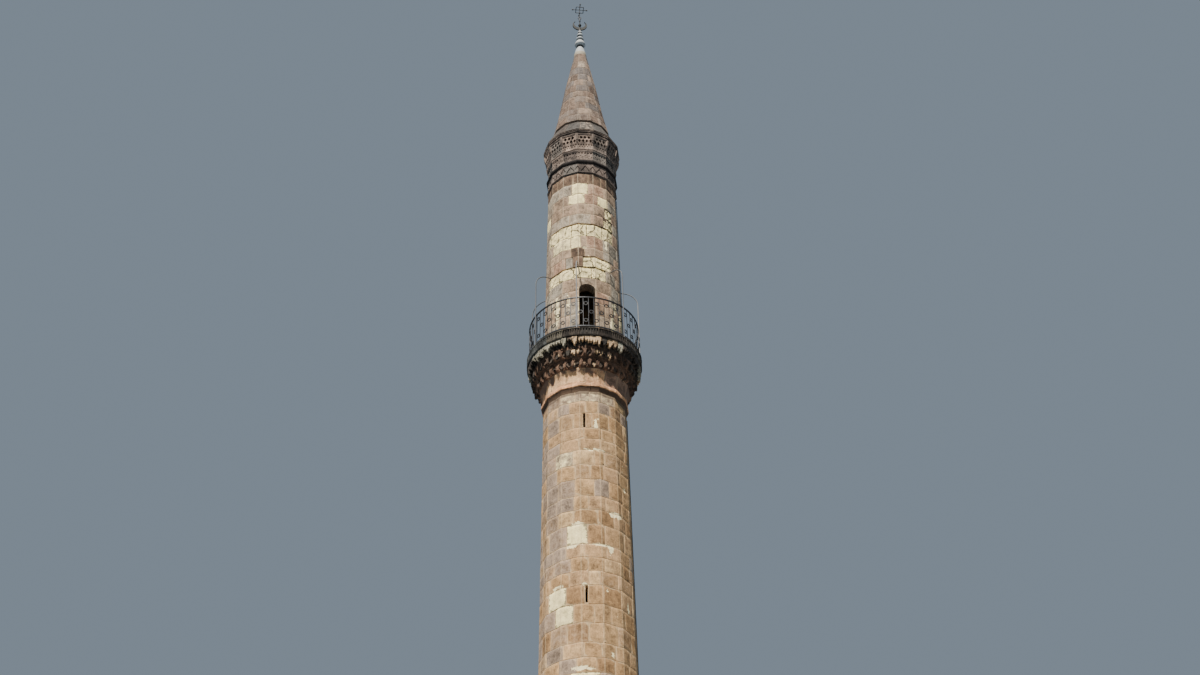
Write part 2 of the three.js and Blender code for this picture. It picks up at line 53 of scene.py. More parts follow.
# Levels, from the ground up
FOOTING_TOP = 0.30
PEDESTAL_TOP = 4.00
CORNICE_TOP = 4.30
SHOE_TOP = 5.90
BASE_RING_TOP = 6.16
DRUM_JOINT = 15.30
SHAFT_TOP = 24.30
RING_TOP = 24.50
NECK_TOP = 24.93
LOW_TIER_TOP = 25.19
MIDDLE_TIER_TOP = 25.45
HIGH_TIER_TOP = 25.69
FLOOR = 25.93
DOOR_SPRING = 27.513
LINTEL_FOOT = 27.52
LINTEL_TOP = 27.92
TURRET_TOP = 31.70
FRIEZE_TOP = 32.07
TORUS_TOP = 32.21
CARVED_TOP = 32.60
PIERCED_TOP = 33.12
MOULDING_TOP = 33.27
SKIRT_TOP = 33.90
SPIRE_TOP = 37.50

# Radii to the arrises
SHAFT_FOOT_R = 1.172
SHAFT_HEAD_R = 1.003
TURRET_FOOT_R = 0.992
TURRET_HEAD_R = 0.912
STAIRWELL_R = 0.76
TURRET_WELL_R = 0.69

DOOR_HALF = 0.207
FOOT_DOOR_HALF = 0.35
FOOT_DOOR_SPRING = 1.90
SLIT_X = -0.12
SLIT_WIDTH = 0.06
SLIT_HEIGHT = 0.42
SLIT_TOP_LEVEL = 23.45
SLIT_SPACING = 4.65


# Camera: the photo's view, from eye level in front of the tower and a little to its left
PHOTO_WIDTH = 1200
FOCAL_IN_PIXELS = 1570
SENSOR = 36.0
EYE = Vector((-3.115, -30.14, 1.6))
HEADING = math.radians(6.66)
PITCH = math.radians(39.7)
ROLL = math.radians(1.26)


def add_camera():
    data = bpy.data.cameras.new("camera")
    data.sensor_width = SENSOR
    data.lens = SENSOR * FOCAL_IN_PIXELS / PHOTO_WIDTH
    data.clip_end = 500
    camera = bpy.data.objects.new("camera", data)
    bpy.context.scene.collection.objects.link(camera)
    level = math.cos(PITCH)
    ahead = Vector((math.sin(HEADING) * level, math.cos(HEADING) * level, math.sin(PITCH)))
    flat_right = ahead.cross(Vector((0, 0, 1))).normalized()
    flat_up = flat_right.cross(ahead)
    right = math.cos(ROLL) * flat_right - math.sin(ROLL) * flat_up
    up = math.sin(ROLL) * flat_right + math.cos(ROLL) * flat_up
    turn = Matrix((right, up, -ahead)).transposed().to_4x4()
    camera.matrix_world = Matrix.Translation(EYE) @ turn
    bpy.context.scene.camera = camera


# Studio: a pale floor, a soft key light high on the left of the front, and an even pale fill
KEY_ROUND = math.radians(-24)
KEY_HEIGHT = math.radians(56)
KEY_STRENGTH = 8.6
KEY_SOFTNESS = math.radians(3)
FILL_COLOUR = (0.66, 0.82, 1.0, 1)
FILL_STRENGTH = 0.30
FLOOR_COLOUR = (0.40, 0.385, 0.36, 1)
FLOOR_SIZE = 26


def add_studio():
    key = bpy.data.objects.new("key", bpy.data.lights.new("key", "SUN"))
    key.data.energy = KEY_STRENGTH
    key.data.angle = KEY_SOFTNESS
    key.data.color = (1.0, 0.965, 0.91)
    towards = Vector((math.sin(KEY_ROUND) * math.cos(KEY_HEIGHT),
                      -math.cos(KEY_ROUND) * math.cos(KEY_HEIGHT), math.sin(KEY_HEIGHT)))
    key.rotation_euler = towards.to_track_quat("Z", "Y").to_euler()
    bpy.context.scene.collection.objects.link(key)
    world = bpy.data.worlds.new("studio")
    world.use_nodes = True
    background = world.node_tree.nodes["Background"]
    background.inputs["Color"].default_value = FILL_COLOUR
    background.inputs["Strength"].default_value = FILL_STRENGTH
    bpy.context.scene.world = world
    clear_selection()
    bpy.ops.mesh.primitive_plane_add(size=FLOOR_SIZE)
    floor = bpy.context.active_object
    floor.name = "floor"
    paint = Finish("floor_paint")
    paint.surface(FLOOR_COLOUR, 0.9)
    floor.data.materials.append(paint.material)


# Shader sums: a socket in an expression adds its Math nodes
class Value:
    def __init__(self, finish, socket):
        self.finish = finish
        self.socket = socket

    def sum(self, operation, first, second=0.0, clamp=False):
        return self.finish.node("ShaderNodeMath", {0: first, 1: second}, operation=operation,
                                use_clamp=clamp)

    def __add__(self, other):
        return self.sum("ADD", self, other)

    def __sub__(self, other):
        return self.sum("SUBTRACT", self, other)

    def __rsub__(self, other):
        return self.sum("SUBTRACT", other, self)

    def __mul__(self, other):
        return self.sum("MULTIPLY", self, other)

    __radd__ = __add__
    __rmul__ = __mul__

    def most(self, other):
        return self.sum("MAXIMUM", self, other)

    def clamped(self):
        return self.sum("ADD", self, 0.0, clamp=True)

    def __abs__(self):
        return self.sum("ABSOLUTE", self)

    def rounded(self):
        return self.sum("ROUND", self)


class Finish:
    """One material. Every node is added by its node method, settings first and then its sockets."""

    def __init__(self, name):
        self.material = bpy.data.materials.new(name)
        self.material.use_nodes = True
        self.tree = self.material.node_tree
        self.shader = self.tree.nodes["Principled BSDF"]

    def node(self, kind, sockets=None, output=0, stops=None, **settings):
        made = self.tree.nodes.new(kind)
        for name, setting in settings.items():
            setattr(made, name, setting)
        if stops:
            ramp = made.color_ramp
            while len(ramp.elements) < len(stops):
                ramp.elements.new(0.5)
            for element, (position, colour) in zip(ramp.elements, stops):
                element.position = position
                element.color = (*colour, 1)
        for socket, value in (sockets or {}).items():
            if isinstance(value, Value):
                self.tree.links.new(value.socket, made.inputs[socket])
            else:
                made.inputs[socket].default_value = value
        return Value(self, made.outputs[output])

    def place(self):
        return self.node("ShaderNodeTexCoord", output="Object")

    def moved(self, where, offset):
        return self.node("ShaderNodeVectorMath", {0: where, 1: offset}, operation="ADD")

    def scaled(self, where, factors):
        return self.node("ShaderNodeVectorMath", {0: where, 1: factors}, operation="MULTIPLY")

    def noise(self, where, scale, detail=3.0, roughness=0.55):
        return self.node("ShaderNodeTexNoise", {"Vector": where, "Scale": scale, "Detail": detail,
                                                "Roughness": roughness})

    def cells(self, where, scale, feature="F1"):
        return self.node("ShaderNodeTexVoronoi", {"Vector": where, "Scale": scale}, feature=feature)

    def step(self, value, low, high):
        return self.node("ShaderNodeMapRange", {"Value": value, "From Min": low, "From Max": high},
                         interpolation_type="SMOOTHSTEP")

    def ramp(self, value, stops):
        return self.node("ShaderNodeValToRGB", {0: value}, stops=stops)

    def mix(self, under, over, mask):
        under, over = (held if isinstance(held, Value) else (*held, 1) for held in (under, over))
        return self.node("ShaderNodeMix", {0: mask, 6: under, 7: over}, output=2, data_type="RGBA")

    def shade(self, colour, factor):
        """A colour made lighter or darker by a factor that varies over the surface."""
        return self.node("ShaderNodeVectorMath", {0: colour, "Scale": factor}, operation="SCALE")

    def mark(self, name, output="Fac"):
        return self.node("ShaderNodeAttribute", attribute_name=name, output=output)

    def parts(self, colour):
        made = self.node("ShaderNodeSeparateColor", {0: colour})
        outputs = made.socket.node.outputs
        return [Value(self, outputs[i]) for i in range(3)]

    def surface(self, colour, roughness, metallic=0.0, relief=None, depth=0.004):
        """Joins the colour, roughness and relief to the shader."""
        for name, value in (("Base Color", colour), ("Roughness", roughness), ("Metallic", metallic)):
            if isinstance(value, Value):
                self.tree.links.new(value.socket, self.shader.inputs[name])
            else:
                self.shader.inputs[name].default_value = value
        if relief is not None:
            bump = self.node("ShaderNodeBump", {"Height": relief, "Distance": depth, "Strength": 1.0})
            self.tree.links.new(bump.socket, self.shader.inputs["Normal"])
        self.shader.inputs["Specular IOR Level"].default_value = 0.25


# Finishes of the masonry
MORTAR = (0.74, 0.54, 0.31)
CREAM = (1.0, 0.82, 0.41)
LIME = (1.0, 0.85, 0.48)
# Colour of cracks, dark as painted shade in them
CRACK_SHADE_COLOUR = (0.055, 0.036, 0.024)


def ashlar_finish(name, hues, grey, cream, mortar, joints, contrast=1.0, arrises=0.0, patina=0.0,
                  patina_colour=(0.03, 0.024, 0.02), stains=()):
    """Weathered ashlar. Each stone's own tone, greyness and share of repair come from its marks."""
    paint = Finish(name)
    place = paint.place()
    tone, greyness, creaminess = paint.parts(paint.mark("stone", "Color"))
    rim = paint.mark("rim")
    lime = paint.mark("lime")
    own = paint.node("ShaderNodeCombineXYZ", {0: tone * 37.0, 1: tone * 71.0, 2: tone * 13.0})
    where = paint.moved(place, own)
    x, y, height = (paint.node("ShaderNodeSeparateXYZ", {0: place}, output=i) for i in range(3))

    broad = paint.noise(where, 2.4, 2.0) - 0.5
    blotch = paint.noise(where, 9.0, 4.0, 0.62) - 0.5
    fine = paint.noise(where, 34.0, 3.0, 0.6) - 0.5
    grain = paint.noise(where, 120.0, 2.0, 0.7) - 0.5
    tooled = paint.noise(paint.scaled(where, (30.0, 30.0, 6.0)), 1.0, 3.0) - 0.5
    weather = paint.noise(place, 0.8, 3.0, 0.6) - 0.5
    streak = paint.noise(paint.scaled(place, (6.0, 6.0, 0.8)), 1.0, 4.0, 0.6) - 0.5
    wave = paint.noise(paint.scaled(place, (1.0, 1.0, 0.5)), 6.0, 1.0) - 0.5
    turn = x.sum("ARCTAN2", x, y * -1.0) * (SIDES / (2 * math.pi))

    creamy = paint.step(creaminess + blotch * 0.4, 0.40, 0.62)
    rubble = paint.step(creaminess, 1.4, 1.6)
    colour = paint.ramp((tone + broad * 0.35 + blotch * 0.25).clamped(), hues)
    colour = paint.mix(colour, grey, paint.step(greyness + blotch * 0.5, 0.35, 0.75))
    colour = paint.mix(colour, cream, creamy)
    mottle = (broad * 1.1 + blotch * 1.6 + fine * 1.3 + grain * 0.9 + tooled * 0.8) * contrast
    middle = paint.step(rim + fine * 0.4, 0.1, 0.95)
    light = 1.08 - middle * 0.15 + mottle * (1.0 - creamy * 0.35) + weather * 0.6 + streak * 0.5
    colour = paint.shade(colour, light.most(0.25))
    if patina:
        dark = paint.step(streak + blotch * 0.8 + fine * 0.4, 0.22 - patina * 0.5, 0.34 - patina * 0.5)
        colour = paint.mix(colour, patina_colour, dark * 0.8)
    if arrises:
        worn = paint.step(abs(turn - turn.rounded()) + fine * 0.04 + blotch * 0.04, 0.450, 0.482)
        colour = paint.mix(colour, mortar, worn * arrises)
    crumbled = paint.step(lime + blotch * 1.2 + fine * 0.5, 0.45, 0.56)
    colour = paint.mix(colour, paint.shade(LIME, 1.0 + blotch * 0.8 + fine * 0.9), crumbled)
    kept = paint.step(paint.noise(place, 2.6, 2.0), 0.42, 0.62) * 0.8 + 0.2
    smear = paint.step(rim + blotch * 1.2 + fine * 0.8, 0.28, 0.04) * kept * joints * (1.0 - creamy * 0.8)
    colour = paint.mix(colour, paint.shade(mortar, 1.0 + blotch + fine * 0.6), smear)
    pits = paint.step(paint.cells(where, 15.0), 0.17, 0.07) * paint.step(blotch, 0.02, 0.10)
    colour = paint.shade(colour, 1 - pits * 0.6)
    swirl = paint.node("ShaderNodeTexNoise", {"Vector": where, "Scale": 7.0}, output=1)
    bent = paint.moved(where, paint.scaled(swirl, (0.14, 0.14, 0.14)))
    # Cracks in crumbled stones and a dark line round repaired stones, in a colour that is partly painted
    # shade: the shadow in the cracks and over the edges of recessed repairs.
    cracks_and_shade = paint.step(paint.cells(bent, 3.4, "DISTANCE_TO_EDGE") + blotch * 0.20, 0.050, 0.010) * rubble
    outline = paint.step(rim + blotch * 1.8 + fine * 0.5, 0.16, 0.02) * creamy
    cracks_and_shade = cracks_and_shade.most(outline * 0.75)
    colour = paint.mix(colour, CRACK_SHADE_COLOUR, cracks_and_shade * 0.85)
    # Bands of painted shade, such as the corbel's shadow over the neck and the shade under the ring
    # moulding, and bands of stain. The bend lowers a band's edge away from the front.
    for start, full, tint, share, ragged, bend in stains:
        edge = height + (wave * 0.75 + blotch * 0.12 + fine * 0.06) * ragged + abs(turn + 0.4) * bend
        mask = paint.step(edge, start, full) * share
        colour = paint.mix(colour, tint, mask)

    relief = blotch * 0.9 + fine * 0.6 + grain * 0.4 - pits * 1.2 - crumbled * 0.5 - cracks_and_shade * 2.0
    paint.surface(colour, 0.9 + grain * 0.2, relief=relief, depth=0.006)
    return paint.material


def mortar_finish(name, light, dark):
    paint = Finish(name)
    place = paint.place()
    blotch = paint.noise(place, 7.0, 4.0)
    grain = paint.noise(place, 120.0, 3.0, 0.7)
    colour = paint.mix(light, dark, paint.step(blotch, 0.38, 0.60))
    colour = paint.shade(colour, 0.8 + grain * 0.4)
    paint.surface(colour, 0.95, relief=blotch * 0.6 + grain, depth=0.005)
    return paint.material


SANDSTONE_HUES = [(0.0, (0.305, 0.172, 0.076)), (0.3, (0.41, 0.240, 0.106)), (0.6, (0.475, 0.287, 0.132)),
                  (0.85, (0.445, 0.265, 0.130)), (1.0, (0.57, 0.37, 0.178))]
TURRET_HUES = [(0.0, (0.110, 0.067, 0.040)), (0.12, (0.150, 0.092, 0.056)), (0.3, (0.295, 0.200, 0.128)),
               (0.6, (0.355, 0.248, 0.160)), (0.85, (0.350, 0.205, 0.128)), (1.0, (0.43, 0.315, 0.205))]
SPIRE_HUES = [(0.0, (0.085, 0.055, 0.037)), (0.4, (0.145, 0.097, 0.067)), (0.75, (0.195, 0.130, 0.090)),
              (1.0, (0.265, 0.188, 0.132))]
NECK_HUES = [(0.0, (0.60, 0.295, 0.145)), (0.5, (0.70, 0.365, 0.18)), (1.0, (0.78, 0.45, 0.235))]
CROWN_HUES = [(0.0, (0.045, 0.034, 0.027)), (0.3, (0.15, 0.113, 0.090)), (0.7, (0.265, 0.196, 0.15)),
              (1.0, (0.37, 0.265, 0.20))]
SOOT_HUES = [(0.0, (0.034, 0.030, 0.024)), (0.35, (0.066, 0.049, 0.035)), (0.7, (0.118, 0.064, 0.038)),
             (1.0, (0.24, 0.140, 0.086))]
EDGE_HUES = [(0.0, (0.030, 0.022, 0.016)), (0.5, (0.055, 0.042, 0.030)), (1.0, (0.105, 0.090, 0.064))]
SPIRE_GREY = (0.14, 0.115, 0.098)
SPIRE_CREAM = (0.42, 0.34, 0.25)
SPIRE_MORTAR = (0.30, 0.235, 0.175)
NECK_CREAM = (0.76, 0.47, 0.24)
# Brown of the neck stones, used on the neck's right side as painted shade for the corbel's shadow there.
NECK_BROWN_AND_SHADE = (0.29, 0.18, 0.118)
CROWN_GREY = (0.17, 0.145, 0.12)
CROWN_CREAM = (0.46, 0.37, 0.28)
CORBEL_GREY = (0.29, 0.26, 0.185)
EDGE_GREY = (0.088, 0.091, 0.082)
CORBEL_CREAM = (0.50, 0.34, 0.19)
MAUVE = (0.33, 0.235, 0.162)
LIGHT_GREY = (0.35, 0.29, 0.21)


# Modelling by hand
def clear_selection():
    if bpy.context.mode != "OBJECT":
        bpy.ops.object.mode_set(mode="OBJECT")
    bpy.ops.object.select_all(action="DESELECT")


def choose(piece, kind, test):
    """Selects in edit mode the vertices, edges or faces that pass a test, and nothing else."""
    bpy.ops.object.mode_set(mode="EDIT")
    bpy.context.tool_settings.mesh_select_mode = (kind == "VERT", kind == "EDGE", kind == "FACE")
    bpy.ops.mesh.select_all(action="DESELECT")
    bpy.ops.object.mode_set(mode="OBJECT")
    data = piece.data
    members = {"VERT": data.vertices, "EDGE": data.edges, "FACE": data.polygons}[kind]
    for member in members:
        member.select = bool(test(member))
    bpy.ops.object.mode_set(mode="EDIT")


def select_only(piece):
    clear_selection()
    piece.select_set(True)
    bpy.context.view_layer.objects.active = piece


def settle(piece, location=None):
    """Applies the place, turn and size of a piece to its mesh, after a move if one is given."""
    if location:
        piece.location = location
    select_only(piece)
    bpy.ops.object.transform_apply(location=True, rotation=True, scale=True)


def finish_modifier(piece, kind, **settings):
    """Adds a modifier and applies it."""
    select_only(piece)
    modifier = piece.modifiers.new(kind.lower(), kind)
    for name, setting in settings.items():
        setattr(modifier, name, setting)
    bpy.ops.object.modifier_apply(modifier=modifier.name)


def cube(size, middle):
    clear_selection()
    bpy.ops.mesh.primitive_cube_add(size=1, location=middle)
    made = bpy.context.active_object
    made.scale = size
    settle(made)
    return made


def bevel_edges(piece, test, size, segments=1, profile=0.5):
    choose(piece, "EDGE", test)
    bpy.ops.mesh.bevel(offset=size, segments=segments, profile=profile, affect="EDGES")
    bpy.ops.object.mode_set(mode="OBJECT")


def cut_away(piece, cutter):
    finish_modifier(piece, "BOOLEAN", operation="DIFFERENCE", solver="EXACT", object=cutter)
    bpy.data.objects.remove(cutter)


def roughen(piece, strength, grain, vertex_group="", direction="NORMAL", middle=0.5):
    texture = bpy.data.textures.new("weather", "CLOUDS")
    texture.noise_scale = grain
    texture.noise_depth = 3
    finish_modifier(piece, "DISPLACE", texture=texture, strength=-strength if direction == "Y" else strength,
                    mid_level=middle, direction=direction, vertex_group=vertex_group, texture_coords="LOCAL")


def smooth(piece, angle):
    select_only(piece)
    bpy.ops.object.shade_smooth_by_angle(angle=math.radians(angle))


def turned(name, profile, sides=SIDES, start=None):
    """A closed profile of (radius, level) points, spun about the tower's axis in flat sides."""
    made = single_point(profile[0][0], 0, profile[0][1])
    made.name = name
    for (r0, z0), (r1, z1) in zip(profile, profile[1:]):
        bpy.ops.mesh.extrude_region_move(TRANSFORM_OT_translate={"value": (r1 - r0, 0, z1 - z0)})
    bpy.ops.mesh.select_all(action="SELECT")
    first = -math.pi / 2 + (math.pi / sides if start is None else start)
    bpy.ops.transform.rotate(value=-first, orient_axis="Z", center_override=(0, 0, 0))
    bpy.ops.mesh.spin(steps=sides, angle=2 * math.pi, center=(0, 0, 0), axis=(0, 0, 1))
    bpy.ops.mesh.select_all(action="SELECT")
    bpy.ops.mesh.remove_doubles(threshold=1e-5)
    bpy.ops.mesh.normals_make_consistent(inside=False)
    bpy.ops.object.mode_set(mode="OBJECT")
    return made


def arrays_of(piece):
    """A modelled piece as arrays of points and faces, for the copies that are laid from it."""
    points = np.empty(len(piece.data.vertices) * 3)
    piece.data.vertices.foreach_get("co", points)
    faces = [tuple(face.vertices) for face in piece.data.polygons]
    return points.reshape(-1, 3), faces


class Pile:
    """Copies gathered into one mesh, with the marks that the finishes read."""

    def __init__(self):
        self.points = []
        self.faces = []
        self.slots = []
        self.marks = {"stone": [], "rim": [], "lime": []}
        self.count = 0

    def add(self, points, faces, stone=(0.5, 0, 0), rim=None, lime=None, slot=0):
        n = len(points)
        self.points.append(points)
        self.faces.extend([tuple(corner + self.count for corner in face) for face in faces])
        self.slots.extend([slot] * len(faces))
        self.marks["stone"].append(np.tile((*stone, 1.0), (n, 1)))
        self.marks["rim"].append(np.ones(n) if rim is None else rim)
        self.marks["lime"].append(np.zeros(n) if lime is None else lime)
        self.count += n

    def add_piece(self, piece, slot=0, slot_at=None, **marks):
        """Adds a modelled piece. slot_at gives the slot of a face from its middle."""
        points, faces = arrays_of(piece)
        bpy.data.objects.remove(piece)
        self.add(points, faces, slot=slot, **marks)
        if slot_at:
            self.slots[-len(faces):] = [slot_at(points[list(face)].mean(0)) for face in faces]

    def made(self, name, finishes, angle=22):
        data = bpy.data.meshes.new(name)
        data.from_pydata(np.concatenate(self.points), [], self.faces)
        for mark, kind in (("stone", "FLOAT_COLOR"), ("rim", "FLOAT"), ("lime", "FLOAT")):
            held = data.attributes.new(mark, kind, "POINT")
            key = "color" if kind == "FLOAT_COLOR" else "value"
            held.data.foreach_set(key, np.concatenate(self.marks[mark]).astype(np.float32).ravel())
        data.polygons.foreach_set("material_index", self.slots)
        for material in finishes:
            data.materials.append(material)
        piece = bpy.data.objects.new(name, data)
        bpy.context.scene.collection.objects.link(piece)
        smooth(piece, angle)
        return piece


# Walls of flat sides, on which stones are laid
class Wall:
    """A tapering wall. levels and radii give its outline, and sides its plan."""

    def __init__(self, levels, radii, sides=SIDES):
        self.levels = levels
        self.radii = radii
        self.sides = sides

    def radius(self, z):
        return np.interp(z, self.levels, self.radii)

    def side(self, z):
        return 2 * self.radius(z) * math.sin(math.pi / self.sides)

    def heading(self, p):
        """The direction of a place on the plan, and how far it leans from its side's middle."""
        middle = np.round(p)
        lean = np.arctan(2 * (p - middle) * math.tan(math.pi / self.sides))
        return middle * 2 * math.pi / self.sides + lean, lean

    def reach(self, angle, lean, z):
        return self.radius(z) * math.cos(math.pi / self.sides) / np.cos(lean)

    def spot(self, p, z, out):
        angle, lean = self.heading(p)
        reach = self.reach(angle, lean, z) + out / np.cos(lean)
        return np.stack([reach * np.sin(angle), -reach * np.cos(angle), z], axis=-1)


class Shoe(Wall):
    """The taper from the square foot to the many-sided shaft: the smaller of the two outlines."""

    def __init__(self, levels, radii, many_radii):
        super().__init__(levels, radii, SQUARE)
        self.many_radii = many_radii

    def reach(self, angle, lean, z):
        square = super().reach(angle, lean, z)
        many = np.interp(z, self.levels, self.many_radii)
        step = 2 * HALF_SIDE
        many_lean = angle - np.round(angle / step) * step
        return np.minimum(square, many * math.cos(HALF_SIDE) / np.cos(many_lean))


# Masters: each is modelled once, and every stone of a wall is a stretched copy of one
MASTER_WIDTH = 0.50
MASTER_HEIGHT = 0.40
MASTER_DEPTH = 0.06
EDGE_KEPT = 0.05
RIM_WIDTH = 0.055


class Master:
    """A modelled stone as arrays. It looks towards -Y, its left foot is at the origin, and its
    upright grid lines, the columns, can be moved onto an arris."""

    def __init__(self, piece, width, height, columns=()):
        self.points, self.faces = arrays_of(piece)
        bpy.data.objects.remove(piece)
        self.width = width
        self.height = height
        self.columns = np.array(columns)
        x, z = self.points[:, 0], self.points[:, 2]
        nearest = np.minimum(np.minimum(x, width - x), np.minimum(z, height - z))
        self.rim = np.clip(nearest / RIM_WIDTH, 0, 1)


def weathered(piece, seed, strength, grain, group="", direction="NORMAL", middle=0.5):
    """Roughens a piece with a stretch of the noise of its own."""
    apart = seed * 3.0
    settle(piece, (apart, 0, 0))
    roughen(piece, strength, grain, group, direction, middle)
    settle(piece, (-apart, 0, 0))


def group_of(piece, name, test):
    group = piece.vertex_groups.new(name=name)
    group.add([v.index for v in piece.data.vertices if test(v.co)], 1.0, "REPLACE")


def face_rim_test(block, width, height):
    """Says of an edge whether it lies on the outline of the front face."""
    def test(edge):
        a, b = (block.data.vertices[i].co for i in edge.vertices)
        if a.y > 1e-4 or b.y > 1e-4:
            return False
        upright = abs(a.x - b.x) < 1e-4 and min(a.x, width - a.x) < 1e-4
        level = abs(a.z - b.z) < 1e-4 and min(a.z, height - a.z) < 1e-4
        return upright or level
    return test


def bite_off(block, seed, where, size, strength, grain):
    """Cuts an uneven ball out of a block."""
    clear_selection()
    bpy.ops.mesh.primitive_ico_sphere_add(subdivisions=2, radius=size, location=where)
    bite = bpy.context.active_object
    settle(bite)
    weathered(bite, seed, strength, grain)
    cut_away(block, bite)


def worn_master(block, seed, wear, grain, test, width, height, columns=()):
    """Wears the part of a carved block that passes a test, and keeps the block as a master."""
    group_of(block, "face", test)
    weathered(block, seed, wear, grain, "face")
    return Master(block, width, height, columns)


def master_stone(number, cuts, edge, strength, chips=(), chip_size=0.05, direction="Y"):
    """A block with worn edges and an uneven face."""
    width, height = MASTER_WIDTH, MASTER_HEIGHT
    block = cube((width, MASTER_DEPTH, height), (width / 2, MASTER_DEPTH / 2, height / 2))
    choose(block, "FACE", lambda face: face.normal.y < -0.9)
    bpy.ops.mesh.subdivide(number_cuts=cuts)
    bpy.ops.object.mode_set(mode="OBJECT")
    bevel_edges(block, face_rim_test(block, width, height), edge, 2, 0.55)
    for i, (x, z) in enumerate(chips):
        bite_off(block, number + i, (x, -chip_size * 0.55, z), chip_size, chip_size * 0.7, chip_size)
    group_of(block, "face", lambda co: co.y < edge * 0.9)
    weathered(block, number, strength, 0.09, "face", direction, 0.25)
    columns = [width * i / (cuts + 1) for i in range(1, cuts + 1)]
    return Master(block, width, height, columns)


def make_masters():
    plain = [master_stone(n, 4, 0.006, 0.008) for n in range(4)]
    chipped = [
        master_stone(5, 4, 0.007, 0.009, [(0.02, 0.385), (0.07, 0.40)], 0.035),
        master_stone(6, 4, 0.007, 0.009, [(0.30, 0.40), (0.36, 0.405), (0.49, 0.01)], 0.030),
        master_stone(7, 4, 0.008, 0.009, [(0.50, 0.36), (0.495, 0.05)], 0.032),
    ]
    crumbled = [master_stone(9 + n, 9, 0.014, 0.05, direction="NORMAL") for n in range(3)]
    return {"plain": plain, "chipped": chipped, "crumbled": crumbled}


def single_point(x, y, z):
    """A new piece of one vertex, in edit mode, ready to be extruded."""
    clear_selection()
    bpy.ops.mesh.primitive_plane_add(size=0.01, location=(0, 0, 0))
    made = bpy.context.active_object
    bpy.ops.object.mode_set(mode="EDIT")
    bpy.context.tool_settings.mesh_select_mode = (True, False, False)
    bpy.ops.mesh.select_all(action="SELECT")
    bpy.ops.mesh.merge(type="CENTER")
    bpy.ops.transform.translate(value=(x, y, z))
    return made


def prism(points, vector, steps=1):
    """A closed outline of points, drawn out along a vector in a number of steps."""
    made = single_point(*points[0])
    for a, b in zip(points, points[1:] + points[:1]):
        move = tuple(v - u for u, v in zip(a, b))
        bpy.ops.mesh.extrude_region_move(TRANSFORM_OT_translate={"value": move})
    bpy.ops.mesh.select_all(action="SELECT")
    bpy.ops.mesh.remove_doubles(threshold=1e-5)
    bpy.ops.mesh.select_all(action="SELECT")
    bpy.ops.mesh.edge_face_add()
    for _ in range(steps):
        bpy.ops.mesh.extrude_region_move(TRANSFORM_OT_translate={"value": tuple(v / steps for v in vector)})
    bpy.ops.mesh.select_all(action="SELECT")
    bpy.ops.mesh.normals_make_consistent(inside=False)
    bpy.ops.object.mode_set(mode="OBJECT")
    return made


def joined(pieces):
    clear_selection()
    for piece in pieces:
        piece.select_set(True)
    bpy.context.view_layer.objects.active = pieces[0]
    if len(pieces) > 1:
        bpy.ops.object.join()
    return bpy.context.active_object


def finer(profile, most=0.05):
    """A profile with points added so that no step is longer than most."""
    points = [profile[0]]
    for (o0, z0), (o1, z1) in zip(profile, profile[1:]):
        count = max(1, math.ceil(math.hypot(o1 - o0, z1 - z0) / most))
        points.extend((o0 + (o1 - o0) * i / count, z0 + (z1 - z0) * i / count) for i in range(1, count + 1))
    return points


def moulding_block(profile, length, steps, depth=0.12, most=0.05, edge=0.005):
    """A length of moulding along X. Its profile is (out, height) points, and its ends are worn."""
    foot, head = profile[0][1], profile[-1][1]
    outline = finer(profile, most) + [(-depth, head), (-depth, foot)]
    made = prism([(0.0, -out, z) for out, z in outline], (length, 0, 0), steps)
    if edge:
        def at_end(e):
            return all(min(made.data.vertices[i].co.x, length - made.data.vertices[i].co.x) < 1e-4
                       for i in e.vertices)
        bevel_edges(made, at_end, edge)
    return made


def moulding_master(seed, profile, length, steps=4, wear=0.005, edge=0.005, depth=0.12, most=0.05):
    """A worn length of moulding, ready to be laid round the tower."""
    made = moulding_block(profile, length, steps, depth, most, edge)
    columns = [length * i / steps for i in range(1, steps)]
    return worn_master(made, seed, wear, 0.07, lambda co: co.y < depth - 0.01, length,
                       profile[-1][1] - profile[0][1], columns)


# Laying the stones
JOINT = 0.010
STONE_PROUD = 0.002
CORE_RECESS = 0.003
CRACK = 0.035
AS_MODELLED = {"keep_height": True, "turn": False, "loose": False}


def stretched(values, nominal, wanted):
    """Lengths across a master stone, stretched to another size with the worn edges kept."""
    kept = min(EDGE_KEPT, nominal * 0.25, wanted * 0.25)
    own = min(EDGE_KEPT, nominal * 0.25)
    return np.interp(values, [0, own, nominal - own, nominal], [0, kept, wanted - kept, wanted])


def wander(p, z):
    """A slow waver, so that no joint is ruled."""
    along = 0.0035 * (np.sin(p * 5.1 + z * 2.3) + np.sin(p * 2.7 - z * 4.1 + 1.3))
    up = 0.0040 * (np.sin(p * 6.3 + z * 1.9 + 0.7) + np.sin(p * 3.1 + z * 3.7))
    return along, up


def on_arris(p, columns):
    """Moves the column of a stone that is nearest to each arris onto it."""
    if len(columns) == 0:
        return p
    moved = np.array(columns)
    first, last = p.min(), p.max()
    for arris in np.arange(math.ceil(first - 0.48) + 0.5, last - 0.02, 1.0):
        moved[int(np.argmin(abs(columns - arris)))] = arris
    return np.interp(p, [first, *columns, last], [first, *moved, last])


